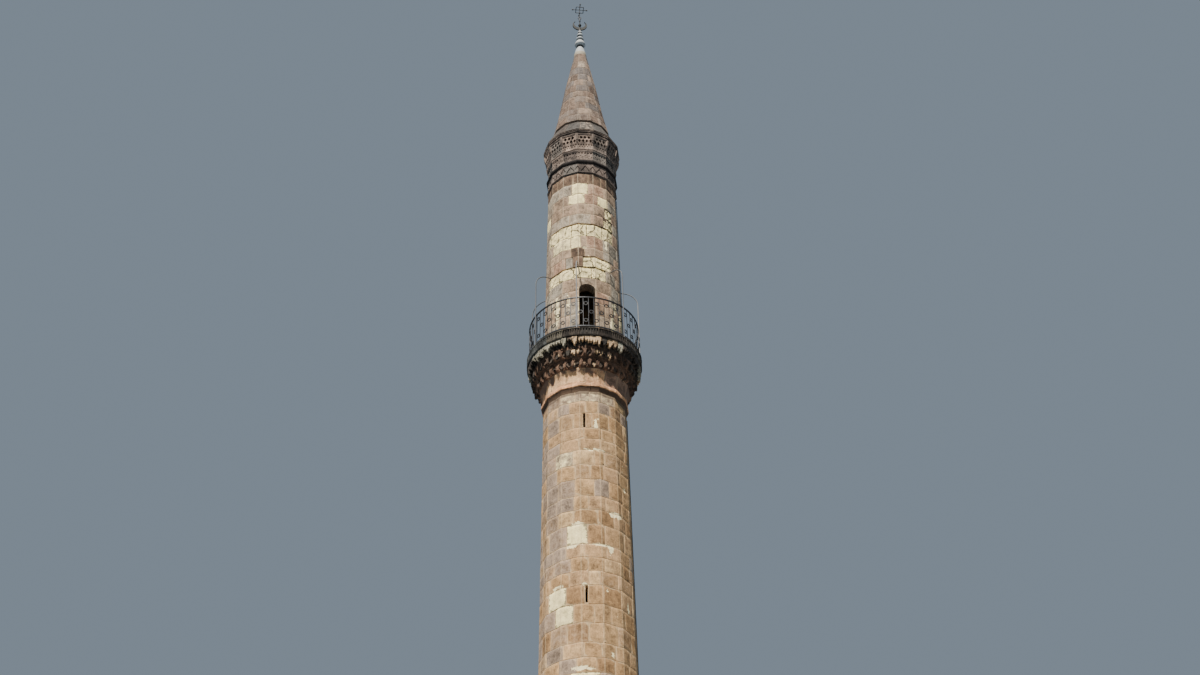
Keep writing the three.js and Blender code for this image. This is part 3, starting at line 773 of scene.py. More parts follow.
def place(pile, wall, master, rect, stone=(0.5, 0, 0), rng=random, recess=0.0, joint=JOINT,
          lime_at=None, keep_height=False, turn=True, loose=True, slot=0):
    """Lays one stretched copy of a master on a wall. rect is (p0, p1, z0, z1)."""
    p0, p1, z0, z1 = rect
    side = float(wall.side((z0 + z1) / 2))
    width = (p1 - p0) * side - joint
    x, depth, z = master.points.T
    if turn and rng.random() < 0.5:
        x, z = master.width - x, master.height - z
    across = stretched(x, master.width, width)
    columns = p0 + (joint / 2 + stretched(master.columns, master.width, width)) / side
    p = on_arris(p0 + (joint / 2 + across) / side, columns)
    up = z if keep_height else joint / 2 + stretched(z, master.height, z1 - z0 - joint)
    level = z0 + up
    out = STONE_PROUD * loose - recess - depth
    along, lift = 0, 0
    if loose:
        tilt = rng.uniform(-0.001, 0.001) * (across / max(width, 0.01) - 0.5)
        out = out + rng.uniform(-0.0008, 0.0015) + tilt
        along, lift = wander(p, level)
    points = wall.spot(p + along / side, level + lift, out)
    lime = None if lime_at is None else lime_at(p, level)
    pile.add(points, master.faces, stone=stone, rim=master.rim, lime=lime, slot=slot)


def around_openings(rects, openings, least=0.06):
    """Stones cut back from the openings: what is left beside, under and over each."""
    for q0, q1, y0, y1 in openings:
        kept = []
        for p0, p1, z0, z1 in rects:
            if p1 <= q0 or p0 >= q1 or z1 <= y0 + 0.03 or z0 >= y1 - 0.03:
                kept.append((p0, p1, z0, z1))
                continue
            parts = [(p0, q0, z0, z1), (q1, p1, z0, z1), (max(p0, q0), min(p1, q1), z0, y0),
                     (max(p0, q0), min(p1, q1), y1, z1)]
            kept.extend(r for r in parts if (r[1] - r[0]) * NARROW_SIDE > least and r[3] - r[2] > least)
        rects = kept
    return rects


def course_joints(start, finish, height, rng):
    """Levels between two fixed joints, close to the wanted course height."""
    count = max(1, round((finish - start) / height))
    step = (finish - start) / count
    levels = [start + step * i for i in range(count)]
    return [levels[0]] + [level + rng.uniform(-0.03, 0.03) for level in levels[1:]]


def filled_courses(fixed, height, rng):
    levels = []
    for a, b in zip(fixed, fixed[1:]):
        levels.extend(course_joints(a, b, height, rng) if b - a > height * 1.4 else [a])
    return levels + [fixed[-1]]


def split_course(sides, side, fixed, length, previous, rng):
    """Splits one course round the tower. Named stones keep their places, and the rest share
    what is left, with their joints off those of the course below."""
    if fixed:
        fixed = sorted(fixed)
        gaps = [(a[1], b[0]) for a, b in zip(fixed, fixed[1:])]
        gaps.append((fixed[-1][1], fixed[0][0] + sides))
    else:
        start = rng.uniform(-sides / 2, sides / 2)
        gaps = [(start, start + sides)]
    rects = [(a, b) for a, b in fixed]
    joints = [a for a, b in fixed] + [b for a, b in fixed]
    for a, b in gaps:
        if b - a < 0.05:
            continue
        count = max(1, round((b - a) * side / length))
        best, best_score = None, -1.0
        for attempt in range(6):
            cuts = [a + (b - a) * (i + rng.uniform(-0.24, 0.24)) / count for i in range(1, count)]
            apart = [min([abs(round_to_side(c - q, sides)) for q in previous] or [1]) for c in cuts]
            score = min(apart or [1])
            if score > best_score:
                best, best_score = cuts, score
        ends = [a] + best + [b]
        rects.extend(zip(ends, ends[1:]))
        joints.extend(best)
    return rects, joints


def round_to_side(p, sides):
    """A place on the plan brought between minus and plus half a turn."""
    return (p + sides / 2) % sides - sides / 2


def spots_of_lime(spots):
    """Crumbled lime near some places, each given as (degrees, level, half width, half height)."""
    def lime_at(p, z):
        most = np.zeros(len(p))
        for degrees, level, half_width, half_height in spots:
            away = round_to_side(p - degrees / FACET_DEGREES, SIDES) * SIDE_WIDTH / half_width
            most = np.maximum(most, 1 - np.hypot(away, (z - level) / half_height) * 0.6)
        return most
    return lime_at


def ring_look(most_grey):
    return lambda rng: (rng.random(), rng.uniform(0, most_grey), 0.0)


def lay_ring(pile, wall, master, foot, length, look, seed):
    """A ring of equal mouldings, laid from one master. look(rng) gives the marks of each."""
    rng = random.Random(seed)
    side = float(wall.side(foot + master.height / 2))
    number = round(wall.sides * side / length)
    step = wall.sides / number
    first = rng.uniform(0, step)
    for i in range(number):
        p0 = round_to_side(first + i * step, wall.sides)
        place(pile, wall, master, (p0, p0 + step, foot, foot + master.height), look(rng), rng, joint=0.006,
              **AS_MODELLED)


def lay_wall(pile, wall, levels, masters, length, look, openings, named, seed, rough=0.12, lime_at=None,
             sunk=()):
    """Lays the courses of a wall. look(p, z, kind, rng) gives a stone's marks, and named holds
    stones of their own as (p0, p1, level inside the course, kind). sunk gives pairs of a kind and
    how far its stones lie back."""
    sunk = dict(sunk)
    rng = random.Random(seed)
    previous = []
    for z0, z1 in zip(levels, levels[1:]):
        middle = (z0 + z1) / 2
        own = [(p0, p1) for p0, p1, level, kind in named if z0 < level < z1]
        kinds = {(p0, p1): kind for p0, p1, level, kind in named if z0 < level < z1}
        rects, previous = split_course(wall.sides, float(wall.side(middle)), own, length, previous, rng)
        for p0, p1 in rects:
            kind = kinds.get((p0, p1))
            turn = p0 - round_to_side((p0 + p1) / 2, wall.sides) + (p1 - p0) / 2
            p0, p1 = p0 - round(turn), p1 - round(turn)
            parts = around_openings([(p0, p1, z0, z1)], openings)
            stone = look(round_to_side((p0 + p1) / 2, wall.sides), middle, kind, rng)
            group = "crumbled"
            if kind != "crumbled":
                group = "chipped" if rng.random() < rough else "plain"
            for a, b, low, high in parts:
                crack = CRACK if group == "crumbled" else 0
                place(pile, wall, rng.choice(masters[group]), (a, b, low, high - crack), stone, rng,
                      sunk.get(kind, 0.0), lime_at=lime_at)


def slit_openings(wall, level, count, side_index, sign):
    """The light slits of one side, as places on the plan."""
    found = []
    for i in range(count):
        z = level - i * SLIT_SPACING
        side = float(wall.side(z))
        a, b = sorted((sign * (SLIT_X - SLIT_WIDTH / 2) / side, sign * (SLIT_X + SLIT_WIDTH / 2) / side))
        found.append((side_index + a, side_index + b, z - SLIT_HEIGHT / 2, z + SLIT_HEIGHT / 2))
    return found


# Lower shaft
COURSES_SEEN = [16.94, 17.29, 17.64, 18.11, 18.56, 19.02, 19.38, 19.72, 20.06, 20.57, 20.96, 21.33,
                21.79, 22.19, 22.59, 22.92, 23.23, 23.67, 24.00, SHAFT_TOP]
COURSES_BELOW = [BASE_RING_TOP, 9.28, 9.72, 13.93, 14.37, DRUM_JOINT]
COURSES_JOIN = [DRUM_JOINT, 15.77, 16.21, 16.60, 16.94]
FACET_DEGREES = 360 / SIDES
SHAFT_REPAIRS = [
    (-31, -5, 20.3, "cream"), (-59, -32, 18.8, "cream"), (-48, -23, 18.35, "cream"),
    (-26, 7, 16.8, "cream"), (-49, -23, 22.35, "grey"), (-47, -22, 21.1, "mauve"),
    (-62, -36, 17.4, "mauve"), (-70, -47, 21.9, "mauve"), (95, 118, 20.3, "cream"),
    (150, 178, 18.2, "cream"), (-140, -112, 21.5, "grey"), (-170, -150, 17.4, "cream"),
    (60, 84, 14.0, "cream"), (-20, 6, 12.2, "cream"), (120, 150, 11.0, "mauve"), (-100, -76, 10.1, "cream"),
    (20, 45, 8.2, "mauve"), (170, 195, 8.6, "cream"), (-20, 1, 24.15, "pale"), (-41, -20, 24.15, "pale"),
    (1, 17, 24.15, "pale"), (17, 37, 24.15, "pale"), (-46, -28, 23.8, "mauve"), (12, 30, 23.8, "mauve"),
    (-28, -5, 23.8, "red"), (-66, -44, 23.4, "mauve"),
]


def greyness(grey, most, rng):
    return rng.uniform(0.5, 0.9) if grey else rng.uniform(0, most)


# Greyness and share of repair of the named kinds of stone
SHAFT_KINDS = {"cream": (0.0, 1.0), "grey": (0.9, 0.48), "mauve": (0.9, 0.0), "pale": (0.7, 0.45)}


def shaft_look(p, z, kind, rng):
    """Marks of a shaft stone: tan in front, and mauve stones mostly on its left."""
    tone = rng.random()
    share = 0.55 if -3.6 < p < -2 else 0.34 if -2 <= p < -0.9 else 0.12
    mauve = rng.random() < share
    if kind in SHAFT_KINDS:
        return (tone, *SHAFT_KINDS[kind])
    if kind == "red":
        return (0.85, 0.3, 0.0)
    return (tone, greyness(mauve, 0.48, rng), 0.0)


def named_stones(list_of_repairs):
    return [(a / FACET_DEGREES, b / FACET_DEGREES, z, kind) for a, b, z, kind in list_of_repairs]


def hollow_core(outline, inner, sides=SIDES):
    """The bed behind a ring of stones: an outline from foot to head, hollow to an inner radius."""
    inside = [(inner, outline[-1][1]), (inner, outline[0][1])]
    return turned("core", outline + inside + outline[:1], sides)


def plain_core(inner, outer, foot, head, sides=SIDES):
    ring = [(inner, foot), (outer, foot), (outer, head), (inner, head)]
    return turned("core", ring + ring[:1], sides)


def wall_core(wall, levels, well_r, openings, recess=CORE_RECESS):
    """The bed of mortar and rubble behind the stones, hollow round the stair, with its openings.
    It has an edge at each of the levels, which are those of the openings' heads and sills."""
    outline = [(float(wall.radius(z)) - recess, z) for z in levels]
    inside = [(well_r, z) for z in reversed(levels)]
    ring = turned("core", outline + inside + outline[:1], wall.sides)
    for size, middle in openings:
        cut_away(ring, cube(size, middle))
    return ring


def hand_over(piece, nodes=()):
    """Says which body a piece rides on and which solids it stands for, and hides those."""
    if nodes:
        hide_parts(*nodes)
    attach(piece, "root")


SHAFT_CRUMBLES = [
    (8, 23.3, 0.04, 0.20), (12, 23.47, 0.06, 0.03), (-2, 22.62, 0.10, 0.05), (12, 22.60, 0.18, 0.03),
    (34, 20.93, 0.20, 0.09), (-17, 20.60, 0.26, 0.05), (-22, 20.02, 0.22, 0.06), (14, 20.05, 0.30, 0.03),
    (26, 19.97, 0.06, 0.12), (-8, 19.03, 0.10, 0.05), (-44, 19.07, 0.22, 0.05), (52, 18.7, 0.05, 0.14),
    (49, 19.15, 0.04, 0.10), (50, 22.4, 0.05, 0.20), (54, 21.8, 0.04, 0.10), (24, 17.4, 0.05, 0.10),
    (17, 18.9, 0.03, 0.08), (30, 18.35, 0.04, 0.05), (-12, 17.05, 0.34, 0.05), (110, 19.5, 0.3, 0.2),
    (-120, 18.0, 0.35, 0.2), (170, 14.2, 0.4, 0.2), (-70, 12.0, 0.3, 0.25), (75, 9.0, 0.4, 0.2),
]


def add_shaft(masters, finishes):
    wall = Wall([BASE_RING_TOP, SHAFT_TOP], [SHAFT_FOOT_R, SHAFT_HEAD_R])
    front = slit_openings(wall, SLIT_TOP_LEVEL, 4, 0, 1)
    back = slit_openings(wall, SLIT_TOP_LEVEL - SLIT_SPACING / 2, 3, 7, -1)
    far_back = [(a - SIDES, b - SIDES, y0, y1) for a, b, y0, y1 in back]
    rng = random.Random(4)
    low = filled_courses(COURSES_BELOW, 0.42, rng)
    high = COURSES_JOIN[:-1] + COURSES_SEEN
    named = named_stones(SHAFT_REPAIRS)
    lime_at = spots_of_lime(SHAFT_CRUMBLES)
    drums = [("lower_shaft_masonry", low, ("lower_shaft_front", "lower_shaft_back"), 21),
             ("upper_drum_masonry", high, ("upper_drum_front", "upper_drum_back"), 22)]
    for name, levels, nodes, seed in drums:
        pile = Pile()
        lay_wall(pile, wall, levels, masters, 0.41, shaft_look, front + back + far_back, named, seed,
                 lime_at=lime_at)
        cuts = []
        edges = {levels[0], levels[-1]}
        for side, places in ((-1, front), (1, back)):
            for _, _, y0, y1 in places:
                if levels[0] < y0 and y1 < levels[-1]:
                    cuts.append(((SLIT_WIDTH, 1.0, y1 - y0 - 0.001), (SLIT_X, side * 1.2, (y0 + y1) / 2)))
                    edges |= {y0, y1}
        pile.add_piece(wall_core(wall, sorted(edges), STAIRWELL_R, cuts), slot=1)
        hand_over(pile.made(name, finishes), nodes)


# Upper shaft, from the balcony to the crown
TURRET_COURSES = [FLOOR, 26.33, 26.73, 27.13, LINTEL_FOOT, LINTEL_TOP, 28.32, 28.68, 28.98, 29.39, 29.84,
                  30.20, 30.58, 30.93, 31.33, TURRET_TOP]
DOOR_EDGE = 0.479
TURRET_REPAIRS = [
    (-23, 4, 31.1, "cream"), (-29, -2, 30.75, "cream"), (21, 41, 30.75, "cream"),
    (33, 50, 30.4, "crumbled"), (30, 52, 30.0, "crumbled"), (-92, -72, 30.4, "cream"),
    (-75, -50, 29.6, "crumbled"), (-50, -24, 29.6, "crumbled"), (-24, 1, 29.6, "crumbled"),
    (1, 27, 29.6, "crumbled"), (27, 50, 29.6, "crumbled"), (-60, -25, 29.2, "grey"),
    (-25, -9, 29.2, "cream"), (0, 28, 29.2, "red"), (-6, 25, 28.5, "crumbled"), (25, 42, 28.5, "crumbled"),
    (-72, -46, 28.1, "crumbled"), (-46, -20, 28.1, "crumbled"), (-20, 7, 28.1, "crumbled"),
    (7, 31, 28.1, "crumbled"), (-58, -34, 28.5, "red"), (-22, -6, 28.5, "brown"), (-25, -3, 28.8, "brown"),
    (140, 165, 29.6, "crumbled"), (165, 190, 29.6, "crumbled"), (100, 125, 30.4, "cream"),
    (-150, -125, 28.1, "crumbled"), (205, 228, 31.1, "cream"), (120, 146, 27.3, "cream"),
    (60, 84, 26.9, "grey"),
]
DOOR_SIDE_STONES = [(26.1, 1.30, 1.02), (26.5, 1.05, 1.38), (26.9, 1.42, 1.08), (27.3, 1.12, 1.35)]
BALCONY_PATCHES = [
    (-49, 27.0, 0.10, 0.55), (-29, 27.1, 0.05, 0.30), (42, 26.6, 0.10, 0.5), (48, 27.2, 0.08, 0.3),
    (-14, 27.0, 0.03, 0.6), (-4, 28.98, 0.08, 0.03), (4, 28.72, 0.08, 0.03), (34, 29.3, 0.04, 0.25),
]


def turret_look(p, z, kind, rng):
    """Marks of an upper shaft stone: greyer than below, and brown under the crown."""
    tone = rng.random()
    if kind == "crumbled":
        return (tone, 0.0, 2.0)
    if kind == "cream":
        return (tone, 0.0, 1.0)
    if kind == "grey":
        return (tone, 1.0, 0.55)
    if kind == "red":
        return (0.86, 0.0, 0.0)
    if kind == "brown" or z > 31.33:
        return (rng.uniform(0, 0.12), 0.0, 0.0)
    grey = rng.random() < 0.42
    front = 0.16 if abs(p + 0.1) < 1.2 else 0.0
    return (0.24 + front + tone * 0.5, greyness(grey, 0.3, rng), 0.0)


def arch_outline(half, foot, spring, rise, steps=12, y=-1.4):
    """A doorway's outline with a round head, as points in the plane at y."""
    points = [(-half, y, foot), (half, y, foot)]
    for i in range(steps + 1):
        turn = math.pi * i / steps
        points.append((half * math.cos(turn), y, spring + rise * math.sin(turn)))
    return points


def arched_lintel(size, height, worn, outline, drawn):
    """A lintel stone as a master. The outline of its arch is cut out of it, drawn out so far."""
    width, depth, tall = size
    block = cube((width - worn, depth, tall), (width / 2, depth / 2, height / 2))
    arch = prism(outline, (0, drawn, 0))
    settle(arch, (width / 2, 0, 0))
    cut_away(block, arch)
    finish_modifier(block, "BEVEL", width=worn, segments=2, angle_limit=math.radians(50))
    return Master(block, width, height)


def behind_crumbled(middle):
    """Whether a face of the core lies behind crumbled stones, where the wall shows dark as painted shade in
    the gaps.
    """
    x, y, z = middle
    at_right = 15 < math.degrees(math.atan2(x, -y)) < 60
    return 27.9 < z < 28.7 or 29.36 < z < 29.86 or (at_right and 29.8 < z < 30.6)


def core_slot(middle):
    """The finish of a face of the core: stone in the doorway, a dark bed of painted shade behind crumbled
    stones, and pale mortar elsewhere.
    """
    x, y, z = middle
    if abs(x) < DOOR_HALF + 0.01 and y < -TURRET_WELL_R * 0.9 and FLOOR < z < DOOR_SPRING + DOOR_HALF + 0.01:
        return 0
    return 2 if behind_crumbled(middle) else 1


def add_turret(masters, finishes):
    wall = Wall([FLOOR, TURRET_TOP], [TURRET_FOOT_R, TURRET_HEAD_R])
    door = (-DOOR_EDGE, DOOR_EDGE, FLOOR, LINTEL_FOOT)
    over_door = (-0.5, 0.5, LINTEL_FOOT, LINTEL_TOP)
    named = named_stones(TURRET_REPAIRS) + [(-0.5, 0.5, 27.7, "door")]
    for z, left, right in DOOR_SIDE_STONES:
        named += [(-left, -DOOR_EDGE, z, "beside"), (-DOOR_EDGE, DOOR_EDGE, z, "door"),
                  (DOOR_EDGE, right, z, "beside")]
    openings = [door, over_door]
    pile = Pile()
    lay_wall(pile, wall, TURRET_COURSES, masters, 0.44, turret_look, openings, named, 31,
             lime_at=spots_of_lime(BALCONY_PATCHES), sunk=(("crumbled", 0.014), ("cream", 0.002)))
    rng = random.Random(5)
    side = float(wall.side(27.72))
    lintel = arched_lintel((side, 0.12, 0.388), 0.4, 0.006,
                           arch_outline(DOOR_HALF, -0.1, -0.007, DOOR_HALF, 14, -0.2), 0.5)
    place(pile, wall, lintel, over_door, (0.4, 0.5, 0.0), rng, joint=0, keep_height=True,
          turn=False)
    deep = 0.045
    radius = wall.radius
    steps = [(FLOOR, 0), (DOOR_SPRING, 0), (27.91, 0), (27.91, deep), (28.69, deep), (28.69, 0), (29.38, 0),
             (29.38, deep), (29.85, deep), (29.85, 0), (30.59, 0), (TURRET_TOP, 0)]
    outline = [(float(radius(z)) - CORE_RECESS - back, z) for z, back in steps]
    core = hollow_core(outline, TURRET_WELL_R)
    cut_away(core, prism(arch_outline(DOOR_HALF, FLOOR - 0.1, DOOR_SPRING, DOOR_HALF, 14), (0, 0.9, 0)))
    pile.add_piece(core, slot_at=core_slot, stone=(0.35, 0.4, 0.0))
    nodes = ["door_wall_left", "door_wall_right", "door_head", "turret_front", "turret_back"]
    hand_over(pile.made("upper_shaft_masonry", finishes), nodes)


# Stone roof: the sloped skirt over the crown, and the spire
SPIRE_LEVELS = [33.925, 34.64, 35.93, SPIRE_TOP]
SPIRE_RADII = [0.800, 0.655, 0.456, 0.176]
SPIRE_COURSES = [33.925, 34.25, 34.56, 34.86, 35.16, 35.43, 35.73, 36.02, 36.33, 36.68, 37.02,
                 SPIRE_TOP - 0.02]
SPIRE_REPAIRS = [
    (-20, 24, 36.9, "cream"), (-35, 10, 36.5, "grey"), (-12, 20, 34.4, "pale"), (-30, 0, 35.3, "pale"),
    (100, 140, 35.3, "cream"), (-140, -110, 34.7, "grey"),
]
SPIRE_KINDS = {"cream": (0.4, 0.50), "grey": (1.0, 0.30), "pale": (0.0, 0.36)}


def spire_look(p, z, kind, rng):
    tone = rng.random()
    if kind in SPIRE_KINDS:
        return (1.0 if kind == "pale" else tone, *SPIRE_KINDS[kind])
    if z < 35.5 and abs(p) < 2:
        tone = 0.45 + tone * 0.55
    return (tone, rng.uniform(0, 0.8), 0.0)


def skirt_look(p, z, kind, rng):
    return (rng.random(), rng.uniform(0.2, 0.8), 0.46 if kind else 0.0)


def add_roof(masters, finishes, skirt_finishes):
    skirt = Wall([MOULDING_TOP, MOULDING_TOP + 0.04, SKIRT_TOP], [1.05, 1.05, 0.762])
    pile = Pile()
    named = [(-0.30, 0.10, 33.6, "cream"), (0.10, 0.55, 33.6, "cream")]
    lay_wall(pile, skirt, [MOULDING_TOP + 0.025, SKIRT_TOP - 0.035], masters, 0.40, skirt_look, (), named,
             41)
    outline = [(1.02, MOULDING_TOP), (1.02, MOULDING_TOP + 0.03), (1.045, MOULDING_TOP + 0.04),
               (0.770, SKIRT_TOP - 0.045), (0.74, SKIRT_TOP - 0.045), (0.74, SKIRT_TOP)]
    pile.add_piece(hollow_core(outline, 0.60), slot=1)
    hand_over(pile.made("skirt_masonry", skirt_finishes), ["spire_skirt"])

    spire = Wall(SPIRE_LEVELS, SPIRE_RADII)
    pile = Pile()
    rng = random.Random(6)
    for z0, z1 in zip(SPIRE_COURSES, SPIRE_COURSES[1:]):
        length = max(0.12, 1.45 * float(spire.side(z0))) if z0 > 35.5 else 0.34
        lay_wall(pile, spire, [z0, z1], masters, length, spire_look, (), named_stones(SPIRE_REPAIRS),
                 rng.randrange(1000), 0.06)
    outline = [(0.74, SKIRT_TOP)] + [(r - CORE_RECESS, z) for r, z in zip(SPIRE_RADII, SPIRE_LEVELS)]
    outline.insert(1, (0.74, SPIRE_LEVELS[0]))
    pile.add_piece(hollow_core(outline, 0.05), slot=1)
    hand_over(pile.made("spire_masonry", finishes), ["spire"])


# Foot: footing course, square pedestal with its doorway, cornice, taper and ring
PEDESTAL_COURSES = [FOOTING_TOP, 0.74, 1.13, 1.54, FOOT_DOOR_SPRING, 2.40, 2.80, 3.20, 3.60, PEDESTAL_TOP]
CORNER = math.sqrt(2)
SHOE_COURSES = [CORNICE_TOP, 4.72, 5.12, 5.52, SHOE_TOP]


def foot_look(p, z, kind, rng):
    tone = rng.random()
    if kind == "cream":
        return (tone, 0.0, 1.0)
    mauve = rng.random() < 0.2
    return (tone, greyness(mauve, 0.2, rng), 0.0)


def add_foot(masters, finishes):
    pile = Pile()
    footing = Wall([0, FOOTING_TOP], [1.73 * CORNER, 1.73 * CORNER], SQUARE)
    lay_wall(pile, footing, [0.008, FOOTING_TOP], masters, 0.75, foot_look, (), (), 51, 0.2)
    walls = Wall([FOOTING_TOP, PEDESTAL_TOP], [1.65 * CORNER] * 2, SQUARE)
    door = FOOT_DOOR_HALF / 3.30
    lintel = 0.62 / 3.30
    named = [(-door, door, (a + b) / 2, "door") for a, b in zip(PEDESTAL_COURSES[:4], PEDESTAL_COURSES[1:5])]
    named += [(-lintel, lintel, 2.1, "door")]
    named += [(s * 0.5 - 0.13, s * 0.5 + 0.15, (a + b) / 2 , "quoin") for s in (-3, -1, 1, 3)
              for a, b in zip(PEDESTAL_COURSES[::2], PEDESTAL_COURSES[1::2])]
    openings = [(-door, door, FOOTING_TOP, FOOT_DOOR_SPRING), (-lintel, lintel, FOOT_DOOR_SPRING, 2.40)]
    lay_wall(pile, walls, PEDESTAL_COURSES, masters, 0.62, foot_look, openings, named, 52)
    arch = arched_lintel((1.24, 0.10, 0.49), 0.5, 0.008,
                         arch_outline(FOOT_DOOR_HALF, -0.2, 0.0, FOOT_DOOR_HALF, 16, -0.3), 0.6)
    place(pile, walls, arch, (-lintel, lintel, FOOT_DOOR_SPRING, 2.40), (0.5, 0.2, 0), random.Random(7),
          joint=0, keep_height=True, turn=False)
    hand_over(pile.made("pedestal_masonry", finishes))

    pile = Pile()
    cornice = moulding_master(61, [(0.002, 0.0), (0.03, 0.02), (0.05, 0.055), (0.10, 0.10), (0.133, 0.14),
                                   (0.133, 0.235), (0.10, 0.262), (0.0, 0.30)], 0.8, 6, 0.004)
    square = Wall([PEDESTAL_TOP, CORNICE_TOP], [1.65 * CORNER] * 2, SQUARE)
    lay_ring(pile, square, cornice, PEDESTAL_TOP, 0.82, ring_look(0.6), 62)
    shoe = Shoe([CORNICE_TOP, SHOE_TOP], [1.62 * CORNER, 1.26 * CORNER], [2.36, 1.23])
    lay_wall(pile, shoe, SHOE_COURSES, masters, 0.55, foot_look, (), (), 63)
    ring = moulding_master(64, [(-0.03, 0.0), (0.0, 0.0), (0.058, 0.07), (0.062, 0.085), (0.062, 0.14),
                                (0.05, 0.16), (-0.03, 0.26)], 0.5, 4, 0.004)
    drum = Wall([SHOE_TOP, BASE_RING_TOP], [1.23, 1.23])
    lay_ring(pile, drum, ring, SHOE_TOP, 0.54, ring_look(0.6), 65)
    hand_over(pile.made("shoe_masonry", finishes))


# Ring moulding and flared neck under the corbel
def neck_look(p, z, kind, rng):
    """Marks of a neck stone: cream in front and on the left, and on the right a dark brown that is painted
    shade for the corbel's shadow.
    """
    if 0.85 < p < 4.5:
        return (rng.random(), rng.uniform(0.8, 1.0), 0.0)
    return (rng.random(), 0.0, rng.uniform(0.30, 0.60))


def add_neck(masters, finishes):
    pile = Pile()
    drip = moulding_master(71, [(-0.01, 0.0), (0.004, 0.0), (0.010, 0.030), (0.046, 0.112), (0.060, 0.130),
                                (0.060, 0.192), (0.052, 0.218), (0.018, 0.242)], 0.45, 4, 0.006)
    wall = Wall([SHAFT_TOP, RING_TOP], [SHAFT_HEAD_R, SHAFT_HEAD_R])
    lay_ring(pile, wall, drip, SHAFT_TOP, 0.448, ring_look(0.4), 72)
    pile.add_piece(plain_core(STAIRWELL_R, 0.98, SHAFT_TOP, RING_TOP), slot=1)
    hand_over(pile.made("ring_moulding_stones", finishes), ["ring_moulding"])

    levels = [RING_TOP + 0.43 * i / 6 for i in range(7)]
    radii = [1.020 + 0.090 * (i / 6) ** 3 for i in range(7)]
    neck = Wall(levels, radii)
    pile = Pile()
    lay_wall(pile, neck, [RING_TOP + 0.035, NECK_TOP], masters, 0.42, neck_look, (),
             [(-0.2, 0.85, 24.7, "cream")], 73, 0.3)
    outline = [(r - CORE_RECESS, z) for r, z in zip(radii, levels)]
    pile.add_piece(hollow_core(outline, STAIRWELL_R), slot=1)
    hand_over(pile.made("neck_masonry", finishes), ["hollow_neck"])


# Corbel: three tiers of small hollowed cells, each tier further out than the one below
def niche_master(seed, width, height, lean, hollow, crumbled):
    """One cell: a block that leans out, hollowed by a pointed niche, with its ribs at its sides."""
    profile = [(-lean, 0.0), (-0.45 * lean, 0.05 * height), (-0.08 * lean, 0.15 * height),
               (0.0, 0.24 * height), (0.0, height)]
    block = moulding_block(profile, width, 6, 0.15, 0.03, 0)
    niche = turned("niche", [(0, -0.04), (hollow, -0.04), (hollow, 0.40 * height),
                             (hollow * 0.80, 0.56 * height), (hollow * 0.42, 0.74 * height),
                             (0, 0.90 * height)], 12, 0.0)
    settle(niche, (width / 2, 0.0, 0))
    cut_away(block, niche)
    if crumbled:
        bite_off(block, seed, (width * crumbled, -0.012, height * 0.8), 0.035, 0.03, 0.03)
    return worn_master(block, seed, 0.020, 0.045, lambda co: co.y < 0.13 and 1e-4 < co.x < width - 1e-4,
                       width, height)


def tooth_master(seed, width, height, outline):
    """A broken tooth of the upper tier. outline gives shares of its width and height."""
    points = [(x * width, 0.0, z * height) for x, z in outline]
    made = prism(points, (0, 0.085, 0), 2)
    bevel_edges(made, lambda edge: all(made.data.vertices[i].co.y < 1e-4 for i in edge.vertices), 0.007)
    weathered(made, seed, 0.012, 0.030)
    return Master(made, width, height)


TEETH = [
    [(0.0, 1.0), (1.0, 1.0), (1.0, 0.50), (0.94, 0.46), (0.92, 0.12), (0.64, 0.05), (0.58, 0.40),
     (0.44, 0.42), (0.40, 0.20), (0.10, 0.26), (0.04, 0.56), (0.0, 0.58)],
    [(0.0, 1.0), (1.0, 1.0), (1.0, 0.62), (0.90, 0.58), (0.88, 0.32), (0.68, 0.27), (0.62, 0.0),
     (0.32, 0.06), (0.26, 0.46), (0.0, 0.42)],
    [(0.0, 1.0), (1.0, 1.0), (1.0, 0.46), (0.82, 0.42), (0.78, 0.0), (0.52, 0.06), (0.46, 0.44),
     (0.30, 0.46), (0.26, 0.24), (0.08, 0.30), (0.0, 0.56)],
    [(0.0, 1.0), (1.0, 1.0), (1.0, 0.74), (0.88, 0.70), (0.84, 0.38), (0.58, 0.44), (0.54, 0.62),
     (0.30, 0.64), (0.26, 0.36), (0.04, 0.42), (0.0, 0.70)],
]

BROAD_TEETH = [
    [(0.0, 1.0), (1.0, 1.0), (1.0, 0.70), (0.90, 0.62), (0.80, 0.24), (0.62, 0.02), (0.42, 0.0),
     (0.24, 0.16), (0.12, 0.58), (0.0, 0.66)],
    [(0.0, 1.0), (1.0, 1.0), (1.0, 0.62), (0.86, 0.48), (0.72, 0.28), (0.58, 0.04), (0.34, 0.10),
     (0.18, 0.46), (0.0, 0.60)],
    [(0.0, 1.0), (1.0, 1.0), (1.0, 0.74), (0.84, 0.58), (0.66, 0.36), (0.44, 0.30), (0.26, 0.50),
     (0.0, 0.70)],
]

# Slim pieces that hang straight down from the rim of a tier and give the corbel its stepped outline
HANGERS = [
    [(0.0, 1.0), (1.0, 1.0), (1.0, 0.42), (0.88, 0.36), (0.82, 0.04), (0.46, 0.0), (0.20, 0.08),
     (0.12, 0.40), (0.0, 0.48)],
    [(0.0, 1.0), (1.0, 1.0), (1.0, 0.30), (0.80, 0.26), (0.74, 0.0), (0.28, 0.05), (0.22, 0.34),
     (0.0, 0.40)],
]

ROUND = 56
CORBEL_TIERS = [
    # node, foot, head, tip radius, lean, cells, first, share of a cell that is hollow, how far sunk
    ("corbel_tier_low", NECK_TOP, LOW_TIER_TOP, 1.200, 0.085, 36, 0.0, 0.34, 0.012),
    ("corbel_tier_middle", LOW_TIER_TOP, MIDDLE_TIER_TOP, 1.305, 0.095, 40, 0.6, 0.36, 0.012),
    ("corbel_tier_high", MIDDLE_TIER_TOP, HIGH_TIER_TOP, 1.400, 0.085, 56, 0.5, 0.40, 0.060),
]
